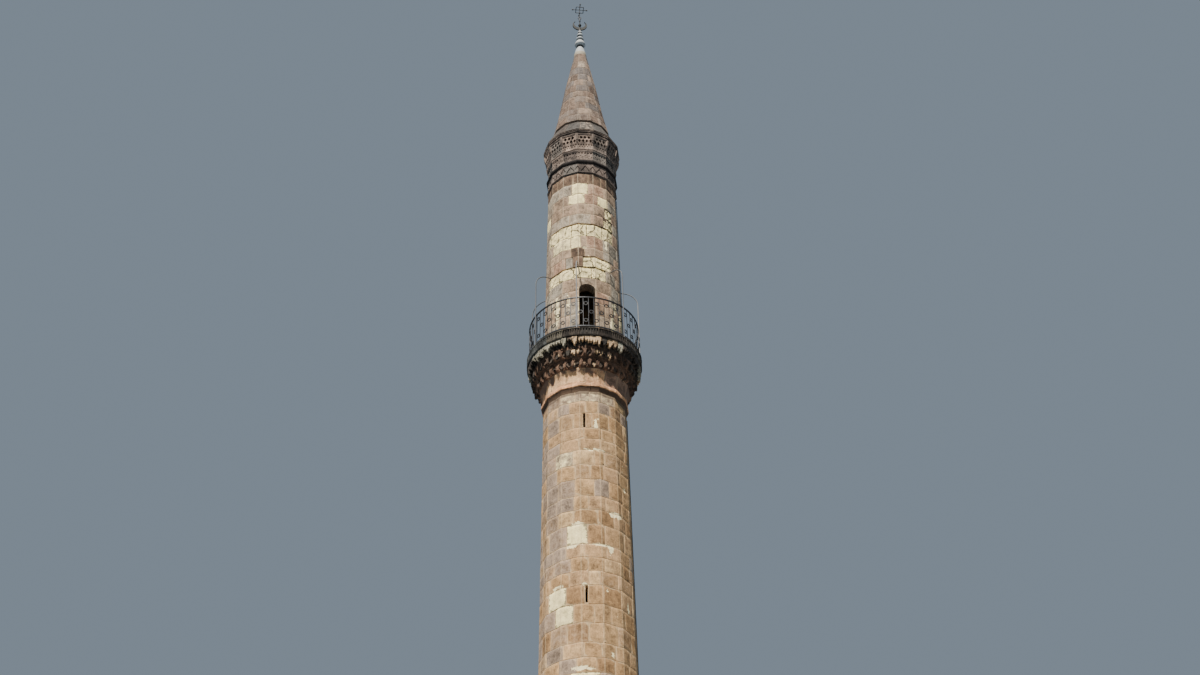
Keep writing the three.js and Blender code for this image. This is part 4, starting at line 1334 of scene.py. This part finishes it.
# Rings of broken teeth: tier, outlines, number, width, head above the tier's foot, least and most
# length, how far sunk, and whether only the pale ones are there
TOOTH_RINGS = [
    (0, BROAD_TEETH, 38, 0.190, 0.155, 0.10, 0.165, 0.040, False),
    (0, TEETH, 90, 0.080, 0.140, 0.10, 0.150, 0.028, True),
    (1, BROAD_TEETH, 42, 0.190, 0.150, 0.09, 0.160, 0.045, False),
    (1, TEETH, 70, 0.115, 0.170, 0.12, 0.190, 0.022, True),
    (2, TEETH, 60, 0.150, 0.240, 0.17, 0.285, 0.0, False),
    (0, HANGERS, 36, 0.100, 0.150, 0.12, 0.165, 0.030, False),
    (1, HANGERS, 40, 0.105, 0.170, 0.15, 0.210, -0.008, False),
    (2, HANGERS, 44, 0.110, 0.200, 0.20, 0.260, -0.006, False),
]
# Pale places of the corbel, as degrees from the doorway's side towards +X
PALE_TEETH = [
    ((-33, -28), (-21, -18), (-6.5, -2.5), (5, 8.5), (94, 98), (139, 143), (168, 172), (-152, -148)),
    ((-62, -57), (-38, -33), (-20, -9), (4.5, 13), (20, 23.5), (82, 86), (126, 130), (156, 160),
     (-164, -160)),
    ((-21, 14.5), (20, 28.5), (92, 108), (150, 185), (-140, -118)),
]
GREY_TEETH = [((-66, -30), (110, 130)), ((-76, -24), (100, 120), (-160, -130)),
              ((-72, -22), (29, 38), (70, 91), (109, 149), (-175, -141), (-117, -90))]
GREY_SHARES = (0.0, 0.30, 1.0)
PALE_SHARES = ((0.45, 0.60), (0.55, 0.85), (0.42, 1.0))
TONES = ((0.55, 0.88), (0.42, 0.74), (0.06, 0.34))


def within(turn, spans):
    return any(low <= turn <= high for low, high in spans)


def tooth_look(tier, turn, rng):
    """Marks of a tooth: cream at the pale places, pale grey on the left, and dark elsewhere."""
    if within(turn, PALE_TEETH[tier]):
        return (rng.random(), 0.2, rng.uniform(*PALE_SHARES[tier]))
    if within(turn, GREY_TEETH[tier]) and rng.random() < GREY_SHARES[tier]:
        return (rng.uniform(0.2, 0.6), rng.uniform(0.7, 1.0), rng.uniform(0.0, 0.42))
    return (rng.uniform(*TONES[tier]), rng.uniform(0.0, 0.3), 0.0)


def add_teeth(pile, wall, ring, foot):
    """A ring of broken teeth that hangs before the cells of a tier."""
    rng = random.Random(88 + ring)
    tier, outlines, number, width, top, least, most, sunk, only_pale = TOOTH_RINGS[ring]
    masters = [tooth_master(190 + 5 * ring + k, width, most, outline) for k, outline in enumerate(outlines)]
    step = ROUND / number
    for i in range(number):
        p0 = round_to_side((i + rng.uniform(-0.12, 0.12)) * step, ROUND)
        turn = (p0 + step / 2) * 360 / ROUND
        if only_pale and not within(turn, PALE_TEETH[tier]):
            continue
        low = foot + top - rng.uniform(least, most)
        stone = tooth_look(tier, turn, rng)
        # Painted shade: the broad teeth are darker than the cells, standing in for the upper tiers' shadow
        # over them.
        if outlines is BROAD_TEETH:
            stone = (rng.uniform(*TONES[tier]) - 0.25, rng.uniform(0.0, 0.3), 0.0)
        fill = 1.0
        if outlines is HANGERS:
            if within(turn, PALE_TEETH[tier]) or within(turn, GREY_TEETH[tier]):
                continue
            if abs(turn + 6) < 62 and rng.random() < 0.75:
                continue
            stone = (rng.uniform(0.0, 0.40), rng.uniform(0.0, 0.1), 0.0)
            fill = 0.5
        place(pile, wall, rng.choice(masters), (p0, p0 + step * fill, low, foot + top), stone, rng,
              sunk + rng.uniform(0.0, 0.022), rng.choice((0.0, 0.004, 0.018)), turn=False, loose=False)


def add_corbel(finishes):
    for n, (node, foot, head, radius, lean, cells, first, hollow, sunk) in enumerate(CORBEL_TIERS):
        rng = random.Random(80 + n)
        wall = Wall([foot, head], [radius, radius], ROUND)
        width = 2 * math.pi * radius / cells
        kinds = [niche_master(90 + 5 * n + k, width, head - foot, lean, width * hollow, bite)
                 for k, bite in enumerate((0, 0.15, 0.25, 0.85))]
        pile = Pile()
        step = ROUND / cells
        for i in range(cells):
            p0 = round_to_side(first + i * step, ROUND)
            stone = (rng.uniform(*TONES[n]), rng.uniform(0.0, 0.3), 0.0)
            place(pile, wall, rng.choice(kinds), (p0, p0 + step, foot, head), stone, rng,
                  sunk + rng.uniform(0, 0.022), 0.001, **AS_MODELLED)
        for ring, entry in enumerate(TOOTH_RINGS):
            if entry[0] == n:
                add_teeth(pile, wall, ring, foot)
        back = radius - 0.13 - sunk
        pile.add_piece(plain_core(STAIRWELL_R, back, foot, head, ROUND // 2), stone=(0.35, 0.2, 0.0))
        hand_over(pile.made(node + "_cells", finishes), [node])


def edge_master(seed, profile, length):
    """An edge stone of the balcony, with a row of worn dentils under its lip."""
    block = moulding_block(profile, length, 6, 0.44, 0.03, 0.006)
    number = 7
    for i in range(number):
        x = length * (i + 0.5) / number
        notch = [(x - 0.018, -0.06, 0.075), (x + 0.018, -0.06, 0.075), (x + 0.014, -0.06, 0.185),
                 (x - 0.014, -0.06, 0.185)]
        cut_away(block, prism(notch, (0, 0.068, 0)))
    return worn_master(block, seed, 0.014, 0.05, lambda co: co.y < 0.43, length, profile[-1][1])


def add_slab(finishes):
    """The balcony floor: dark edge stones with a thin lip, running in to the wall as paving, and
    the landing inside, with the head of the stair open behind it."""
    pile = Pile()
    profile = [(-0.03, 0.0), (0.006, 0.004), (0.014, 0.03), (0.014, 0.185), (-0.004, 0.192), (-0.004, 0.200),
               (0.018, 0.207), (0.018, 0.226), (0.010, 0.232)]
    kinds = [edge_master(140 + k, profile, 0.42) for k in range(3)]
    wall = Wall([HIGH_TIER_TOP, FLOOR], [1.41, 1.41], ROUND)
    rng = random.Random(143)
    joints = [0.0]
    while joints[-1] < ROUND - 2.0:
        joints.append(joints[-1] + rng.uniform(2.1, 3.1))
    joints[-1] = ROUND
    for a, b in zip(joints, joints[1:]):
        p0 = a - ROUND / 2
        turn = (a + b) / 2 * 360 / ROUND - 180
        stone = (rng.random(), 1.0 if turn < -38 else rng.uniform(0, 0.5), 0.0)
        place(pile, wall, rng.choice(kinds), (p0, p0 + b - a, HIGH_TIER_TOP, FLOOR), stone, rng,
              rng.uniform(0, 0.003), 0.007, **AS_MODELLED)
    low, high = HIGH_TIER_TOP + 0.01, FLOOR - 0.003
    landing = turned("landing", [(0, low), (0.99, low), (0.99, high), (0, high)])
    under, over = low - 0.5, high + 0.5
    well = turned("well", [(0, under), (TURRET_WELL_R, under), (TURRET_WELL_R, over), (0, over)])
    cut_away(well, cube((3, 2, 3), (0, -1, high)))
    cut_away(landing, well)
    pile.add_piece(landing, stone=(0.6, 0.3, 0.0))
    hand_over(pile.made("balcony_floor_stones", finishes), ["balcony_slab"])


# Crown: arch frieze, dark torus, carved band, pierced frieze and mouldings
def diamond(x, z, size, depth, tall=None):
    """A four-cornered cutter that stands on its point."""
    tall = tall or size
    y = -0.03
    points = [(x, y, z - tall), (x + size, y, z), (x, y, z + tall), (x - size, y, z)]
    return prism(points, (0, depth - y, 0))


def three_panels(seed, profile, width, cutters, wear, depth=0.10):
    """Carved panels that fill one side each, alike but for their wear. cutters() models what is
    cut out of one."""
    made = []
    for k in range(3):
        carving = cutters()
        block = moulding_block(profile, width, 8, depth, 0.035, 0.003)
        for cutter in carving:
            cut_away(block, cutter)
        made.append(worn_master(block, seed + k, wear, 0.035, lambda co: co.y < depth - 0.01, width,
                                profile[-1][1]))
    return made


def frieze_panels():
    """Pointed strokes, a large one to each side, over a bold light fillet with a dark line under it."""
    profile = [(-0.012, 0.0), (-0.012, 0.014), (0.020, 0.020), (0.030, 0.032), (0.026, 0.052), (0.0, 0.062),
               (0.0, 0.345), (0.006, 0.352), (0.006, 0.37)]
    width = 0.4105

    def strokes():
        return [chevron(width / 2, 0.125, 0.105, 0.315, 0.034), chevron(0.0, 0.085, 0.165, 0.30, 0.028),
                chevron(width, 0.085, 0.165, 0.30, 0.028)]
    return three_panels(150, profile, width, strokes, 0.008)


def chevron(x, half, foot, apex, stroke, depth=0.020):
    """A cutter in the form of two strokes that meet in a point."""
    outline = [(-half, foot), (0, apex), (half, foot), (half - stroke, foot), (0, apex - stroke * 1.9),
               (stroke - half, foot)]
    return prism([(x + across, -0.05, z) for across, z in outline], (0, 0.05 + depth, 0))


def carved_panels():
    """A band with hanging swags under its upper edge."""
    profile = [(0.012, 0.0), (0.018, 0.012), (0.018, 0.035), (0.004, 0.05), (0.004, 0.30), (0.016, 0.325),
               (0.024, 0.345), (0.024, 0.372), (0.0, 0.39)]
    width = 0.4150
    swag = [(-0.034, 0.295), (-0.028, 0.262), (0.0, 0.243), (0.028, 0.262), (0.034, 0.295)]

    def swags_and_lozenges():
        cutters = []
        for i in range(5):
            x = width * (i + 0.5) / 5
            cutters.append(prism([(x + across, -0.05, z) for across, z in swag], (0, 0.064, 0)))
        return cutters + [diamond(width * (i + 0.5) / 7, 0.125 + 0.05 * (i % 2), 0.022, 0.008)
                          for i in range(7)]
    return three_panels(160, profile, width, swags_and_lozenges, 0.009)


def pierced_panels():
    """Two rows of holes between the brackets, over a band of worn lozenges."""
    profile = [(0.0, 0.0), (0.010, 0.008), (0.010, 0.03), (0.0, 0.04), (0.0, 0.50), (0.008, 0.505),
               (0.008, 0.52)]
    width = 0.4390
    # Share of the width, height, size, depth and how tall
    holes = [(x, 0.420, 0.044, 0.11, 0.064) for x in (0.26, 0.50, 0.74)]
    holes += [(x, 0.300, 0.044, 0.11, 0.056) for x in (0.155, 0.385, 0.615, 0.845)]
    holes += [((i + 0.5) / 6, 0.175, 0.030, 0.020, 0.030) for i in range(6)]
    holes += [(i / 6, 0.110, 0.024, 0.018, 0.024) for i in range(1, 6)]

    def lozenges():
        return [diamond(width * x, z, size, deep, tall) for x, z, size, deep, tall in holes]
    return three_panels(170, profile, width, lozenges, 0.011, 0.055)


BRACKET_WIDTH = 0.075


def bracket_master(seed):
    """A small bracket with a hanging tip, which covers an arris of the pierced frieze."""
    profile = [(-0.02, 0.0), (0.004, 0.03), (0.010, 0.07), (0.002, 0.085), (0.016, 0.11), (0.028, 0.18),
               (0.032, 0.25), (0.032, 0.31)]
    block = moulding_block(profile, BRACKET_WIDTH, 2, 0.08, 0.03, 0.006)
    return worn_master(block, seed, 0.010, 0.03, lambda co: co.y < 0.06, BRACKET_WIDTH, 0.31,
                       [BRACKET_WIDTH / 2])


def crown_look(darkest, lightest):
    """Marks of the panels of one band of the crown, nearly black on the far right as painted shade."""
    def look(p, rng):
        # Painted shade: the panels on the far right side are nearly black.
        if 2.6 < p < 4.5:
            return (rng.uniform(0.0, 0.2), 0.2, 0.0)
        return (rng.uniform(darkest, lightest), rng.uniform(0.0, 0.8), rng.uniform(0.0, 0.40))
    return look


def moulding_look(p, rng):
    return (rng.uniform(0.08, 0.40), 0.3, 0.0)


def torus_look(p, rng):
    return (rng.uniform(0, 0.15), 0.1, 0.0)


def add_crown(stone_finish, dark_finish):
    roll = [(-0.01, 0.0), (0.0, 0.004), (0.022, 0.022), (0.036, 0.05), (0.040, 0.072), (0.034, 0.10),
            (0.018, 0.125), (0.0, 0.14)]
    steps = [(-0.02, 0.0), (0.0, 0.0), (0.004, 0.012), (0.004, 0.04), (-0.018, 0.048), (-0.018, 0.062),
             (0.014, 0.070), (0.020, 0.082), (0.020, 0.108), (-0.004, 0.114), (-0.004, 0.124),
             (0.028, 0.130), (0.028, 0.15)]
    # node, levels, radii, masters, first panel, look, radius of the core
    bands = [
        ("arch_frieze", [TURRET_TOP, FRIEZE_TOP], [0.920, 0.922], frieze_panels(), -0.5,
         crown_look(0.10, 0.65), 0.85),
        ("torus_ring", [FRIEZE_TOP, TORUS_TOP], [0.928, 0.935],
         [moulding_master(180, roll, 0.42, 4, 0.008, most=0.03)], 0.1, torus_look, 0.86),
        ("carved_band", [TORUS_TOP, CARVED_TOP], [0.916, 0.924], carved_panels(), -0.5,
         crown_look(0.20, 0.85), 0.85),
        ("pierced_frieze", [CARVED_TOP, 32.76, 32.90, PIERCED_TOP], [0.950, 0.958, 0.998, 1.013],
         pierced_panels(), -0.5, crown_look(0.45, 0.95), 0.86),
        ("crown_moulding", [PIERCED_TOP, MOULDING_TOP], [1.03, 1.03],
         [moulding_master(183, steps, 0.46, 4, 0.006, most=0.03)], 0.2, moulding_look, 0.93),
    ]
    bracket = bracket_master(185)
    for name, levels, radii, masters, first, look, back in bands:
        wall = Wall(levels, radii)
        foot = levels[0]
        head = foot + masters[0].height
        rng = random.Random(name)
        pile = Pile()
        for i in range(SIDES):
            p0 = round_to_side(first + i, SIDES)
            master = rng.choice(masters)
            place(pile, wall, master, (p0, p0 + 1, foot, head), look(p0, rng), rng, joint=0.002,
                  **AS_MODELLED)
            if name == "pierced_frieze":
                half = BRACKET_WIDTH / 2 / float(wall.side(foot + 0.35))
                low = foot + 0.205
                marks = (rng.uniform(0.3, 0.8), 0.3, rng.uniform(0.0, 0.3))
                place(pile, wall, bracket, (p0 - half, p0 + half, low, low + bracket.height), marks, rng,
                      joint=0.0, **AS_MODELLED)
        pile.add_piece(plain_core(TURRET_WELL_R, back, foot, head), stone=(0.0, 0.0, 0.0))
        finish = dark_finish if name == "torus_ring" else stone_finish
        hand_over(pile.made(name + "_stones", [finish]), [name])


# Ironwork
def rigid(points, turn, reach, level):
    """Carries points that look towards -Y out to a radius, turned round the tower's axis."""
    x, y, z = points.T
    y = y - reach
    cos, sin = math.cos(turn), math.sin(turn)
    return np.stack([x * cos - y * sin, x * sin + y * cos, z + level], axis=-1)


RAIL_R = 1.365
BAYS = 7
GAPS = 9
BAR_SPACING = 0.095735
FIRST_GAP = 0.018 + BAR_SPACING / 2


def ring_arrays():
    """A flat iron ring with a rivet at each side."""
    section = [(0.040, -0.008), (0.056, -0.008), (0.056, 0.008), (0.040, 0.008)]
    ring = turned("ring", section + section[:1], 18, 0.0)
    rivets = []
    for side in (-1, 1):
        half_round = [(0, -0.008), (0.007, -0.006), (0.009, 0.0), (0.007, 0.006), (0, 0.008)]
        rivet = turned("rivet", half_round, 6, 0.0)
        settle(rivet, (side * 0.0560, 0, 0))
        rivets.append(rivet)
    whole_ring = joined([ring, *rivets])
    whole_ring.rotation_euler = (math.pi / 2, 0, 0)
    settle(whole_ring)
    held = arrays_of(whole_ring)
    bpy.data.objects.remove(whole_ring)
    return held


def add_railing(finish):
    points, faces = ring_arrays()
    pile = Pile()
    for bay in range(-3, 4):
        for i in range(GAPS):
            turn = -HALF_SIDE + bay * 2 * math.pi / BAYS + FIRST_GAP + i * BAR_SPACING
            for level in ((26.72, 26.18) if (bay * GAPS + i) % 2 else (26.45,)):
                pile.add(rigid(points, turn, RAIL_R, level), faces)
    hand_over(pile.made("railing_rings", [finish]))


# Finial
def add_lead(piece, lead, nodes):
    piece.data.materials.append(lead)
    smooth(piece, 35)
    hand_over(piece, nodes)


def add_finial(lead):
    cap_profile = [(0.0, 37.46), (0.186, 37.44), (0.188, 37.50), (0.178, 37.56), (0.164, 37.62),
                   (0.150, 37.70), (0.130, 37.78), (0.105, 37.85), (0.078, 37.90), (0.055, 37.935),
                   (0.0, 37.94)]
    cap = turned("finial_cap_lead", finer(cap_profile, 0.03), 40, 0.0)
    group_of(cap, "hem", lambda co: co.z < 37.47 and co.length > 0)
    weathered(cap, 3, 0.05, 0.08, "hem", "Z")
    weathered(cap, 4, 0.008, 0.06)
    add_lead(cap, lead, ["finial_cap"])
    foot = 37.93
    bulbs = [(0.0, -0.01), (0.060, -0.01), (0.066, 0.015), (0.096, 0.030), (0.128, 0.050), (0.148, 0.078),
             (0.157, 0.105), (0.154, 0.140), (0.140, 0.185), (0.118, 0.230), (0.090, 0.268), (0.076, 0.282),
             (0.086, 0.290), (0.086, 0.304), (0.072, 0.310), (0.082, 0.318), (0.102, 0.335), (0.112, 0.352),
             (0.108, 0.380), (0.092, 0.410), (0.070, 0.440), (0.056, 0.455), (0.064, 0.463), (0.064, 0.474),
             (0.054, 0.480), (0.070, 0.492), (0.086, 0.510), (0.092, 0.530), (0.088, 0.555), (0.072, 0.585),
             (0.056, 0.610), (0.050, 0.622), (0.058, 0.630), (0.058, 0.642), (0.048, 0.650), (0.064, 0.662),
             (0.066, 0.680), (0.056, 0.702), (0.042, 0.722), (0.036, 0.745), (0.036, 0.800), (0.0, 0.800)]
    stack = turned("finial_bulbs_lead", [(r, foot + z) for r, z in bulbs], 28, 0.0)
    weathered(stack, 6, 0.004, 0.05)
    add_lead(stack, lead, ["finial_bulbs"])


def metal_finish(name, stops, scale, roughness, metallic, stain, bands):
    """A worn metal or lead surface: mottled colours, with a stain where the noise is high. Each
    band is a stretch of height, from low to high, with a colour of its own."""
    paint = Finish(name)
    where = paint.place()
    broad = paint.noise(where, scale, 4.0, 0.6)
    grain = paint.noise(where, scale * 12, 3.0, 0.7)
    colour = paint.ramp(broad * 0.75 + grain * 0.25, stops)
    if stain:
        colour = paint.mix(colour, stain, paint.step(grain * 0.6 + broad * 0.5, 0.60, 0.72) * 0.7)
    height = paint.node("ShaderNodeSeparateXYZ", {0: where}, output=2) + (broad - 0.5) * 0.02
    for low, high, tint in bands:
        over_low = paint.step(height, low - 0.004, low + 0.006)
        inside = over_low * paint.step(height, high + 0.006, high - 0.004)
        colour = paint.mix(colour, tint, inside * 0.9)
    paint.surface(colour, roughness + broad * 0.2 - 0.1, metallic, relief=broad + grain * 0.6, depth=0.002)
    return paint.material


# Bands of painted shade and of stain: level where they start, level where they are full, colour, share,
# raggedness and bend
# Painted shadow: the top of the shaft is darkened just under the ring moulding, where its shade falls.
UNDER_RING_SHADE = [(24.20, 24.23, (0.11, 0.074, 0.05), 0.8, 0.08, 0.0)]
NECK_SHADOW = [(24.83, 24.96, (0.40, 0.24, 0.155), 0.75, 0.8, 0.060),
               (24.92, 24.95, (0.19, 0.12, 0.08), 0.88, 1.0, 0.065),
               (24.424, 24.408, (0.075, 0.050, 0.033), 0.92, 0.08, 0.0)]
FLOOR_RIM = [(25.910, 25.925, (0.17, 0.155, 0.125), 0.8, 0.1, 0.0)]
SKIRT_HUES = [(0.0, (0.050, 0.038, 0.030)), (1.0, (0.095, 0.075, 0.060))]
# The torus is nearly black: soot, and painted shade for the dark line of its shadow.
TORUS_HUES = [(0.0, (0.016, 0.012, 0.010)), (1.0, (0.045, 0.034, 0.027))]
# Hues, grey, cream, mortar, how much mortar shows at the joints, and the rest by its name
STONES = {
    "shaft_stone": (SANDSTONE_HUES, MAUVE, CREAM, MORTAR, 0.65, {"arrises": 0.25, "stains": UNDER_RING_SHADE}),
    "turret_stone": (TURRET_HUES, LIGHT_GREY, CREAM, (0.46, 0.35, 0.23), 0.6,
                     {"contrast": 1.3, "arrises": 0.6}),
    "spire_stone": (SPIRE_HUES, SPIRE_GREY, SPIRE_CREAM, SPIRE_MORTAR, 0.6,
                    {"contrast": 1.2, "arrises": 0.5}),
    "skirt_stone": (SKIRT_HUES, (0.075, 0.066, 0.056), SPIRE_CREAM, (0.14, 0.11, 0.085), 0.5,
                    {"contrast": 1.2}),
    "neck_stone": (NECK_HUES, NECK_BROWN_AND_SHADE, NECK_CREAM, (0.72, 0.52, 0.32), 0.5, {"stains": NECK_SHADOW}),
    "crown_stone": (CROWN_HUES, CROWN_GREY, CROWN_CREAM, (0.34, 0.26, 0.20), 0.75,
                    {"patina": 0.35, "contrast": 1.4}),
    "soot_and_shade_stone": (TORUS_HUES, (0.03, 0.026, 0.022), CROWN_CREAM, (0.05, 0.038, 0.03), 0.3, {}),
    "corbel_stone": (SOOT_HUES, CORBEL_GREY, CORBEL_CREAM, (0.07, 0.045, 0.03), 0.4,
                     {"patina": 0.12, "patina_colour": (0.022, 0.016, 0.013), "contrast": 1.4}),
    "edge_stone": (EDGE_HUES, EDGE_GREY, CORBEL_CREAM, (0.05, 0.04, 0.032), 0.3,
                   {"patina": 0.42, "patina_colour": (0.009, 0.007, 0.006), "contrast": 1.7,
                    "stains": FLOOR_RIM}),
}
# Light and dark colour of each mortar
MORTARS = {
    "bed_mortar": (MORTAR, (0.42, 0.29, 0.165)),
    # Dark bed behind crumbled stones: painted shade in the gaps.
    "cleft_shade_bed": ((0.10, 0.065, 0.042), (0.05, 0.034, 0.024)),
    "spire_mortar": (SPIRE_MORTAR, (0.20, 0.155, 0.115)),
}
SHADE = (0.030, 0.030, 0.030)
LEAD_BANDS = [(37.40, 37.60, (0.34, 0.285, 0.19)), (37.925, 37.965, SHADE), (38.20, 38.255, SHADE),
              (38.38, 38.425, SHADE), (38.54, 38.59, SHADE), (38.66, 38.80, (0.07, 0.055, 0.045))]
# Mottled colours, size of the mottle, roughness, metallic, colour of the stain and bands
METALS = {
    # Black iron, painted darker over the handrail's height as painted shade for its shaded underside.
    "black_iron": ([(0.3, (0.026, 0.027, 0.03)), (0.6, (0.05, 0.052, 0.056)), (0.8, (0.075, 0.072, 0.068))],
                   9.0, 0.45, 0.0, (0.07, 0.040, 0.026), [(26.895, 27.2, (0.020, 0.020, 0.022))]),
    "ring_iron": ([(0.3, (0.012, 0.012, 0.013)), (0.7, (0.032, 0.032, 0.034))], 9.0, 0.5, 0.0,
                  (0.05, 0.03, 0.02), ()),
    # Two copies of the stays' steel: a pale one for the sunlit stays, and a dark one that is painted shade
    # for the others.
    "pale_steel": ([(0.3, (0.17, 0.17, 0.17)), (0.6, (0.25, 0.25, 0.245)), (0.8, (0.31, 0.305, 0.295))],
                   6.0, 0.5, 0.0, (0.13, 0.095, 0.07), ()),
    "shaded_stay_steel": ([(0.3, (0.075, 0.077, 0.08)), (0.6, (0.115, 0.117, 0.12)), (0.8, (0.15, 0.15, 0.148))],
                   6.0, 0.5, 0.0, (0.09, 0.065, 0.05), ()),
    "white_lead": ([(0.3, (0.24, 0.25, 0.245)), (0.5, (0.46, 0.475, 0.465)), (0.8, (0.64, 0.65, 0.63))],
                   7.0, 0.7, 0.0, (0.17, 0.16, 0.13), LEAD_BANDS),
    "dark_bronze": ([(0.3, (0.012, 0.012, 0.01)), (0.6, (0.026, 0.025, 0.018)),
                     (0.8, (0.032, 0.042, 0.036))], 8.0, 0.65, 0.1, None, ()),
}
# The finish of each solid that shows as it is, by how its name starts
# Stays 1 and 3 take the lit copy of the steel, and the other stays the shaded copy.
SOLID_FINISHES = {"railing": "black_iron", "conductor": "black_iron", "lightning": "black_iron",
                  "stay_1": "pale_steel", "stay_3": "pale_steel", "stay": "shaded_stay_steel",
                  "crescent": "dark_bronze"}


def main():
    add_camera()
    add_studio()
    masters = make_masters()
    made = {name: ashlar_finish(name, *plain, **more) for name, (*plain, more) in STONES.items()}
    made |= {name: mortar_finish(name, *colours) for name, colours in MORTARS.items()}
    made |= {name: metal_finish(name, *entry) for name, entry in METALS.items()}
    bed = made["bed_mortar"]
    add_shaft(masters, [made["shaft_stone"], bed])
    add_turret(masters, [made["turret_stone"], bed, made["cleft_shade_bed"]])
    spire_bed = made["spire_mortar"]
    add_roof(masters, [made["spire_stone"], spire_bed], [made["skirt_stone"], spire_bed])
    add_foot(masters, [made["shaft_stone"], bed])
    add_neck(masters, [made["neck_stone"], bed])
    add_corbel([made["corbel_stone"]])
    add_slab([made["edge_stone"]])
    add_crown(made["crown_stone"], made["soot_and_shade_stone"])
    add_railing(made["ring_iron"])
    add_finial(made["white_lead"])
    for name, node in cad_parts.items():
        finishes = [finish for start, finish in SOLID_FINISHES.items() if name.startswith(start)]
        node.data.materials.clear()
        node.data.materials.append(made[finishes[0]] if finishes else bed)


main()
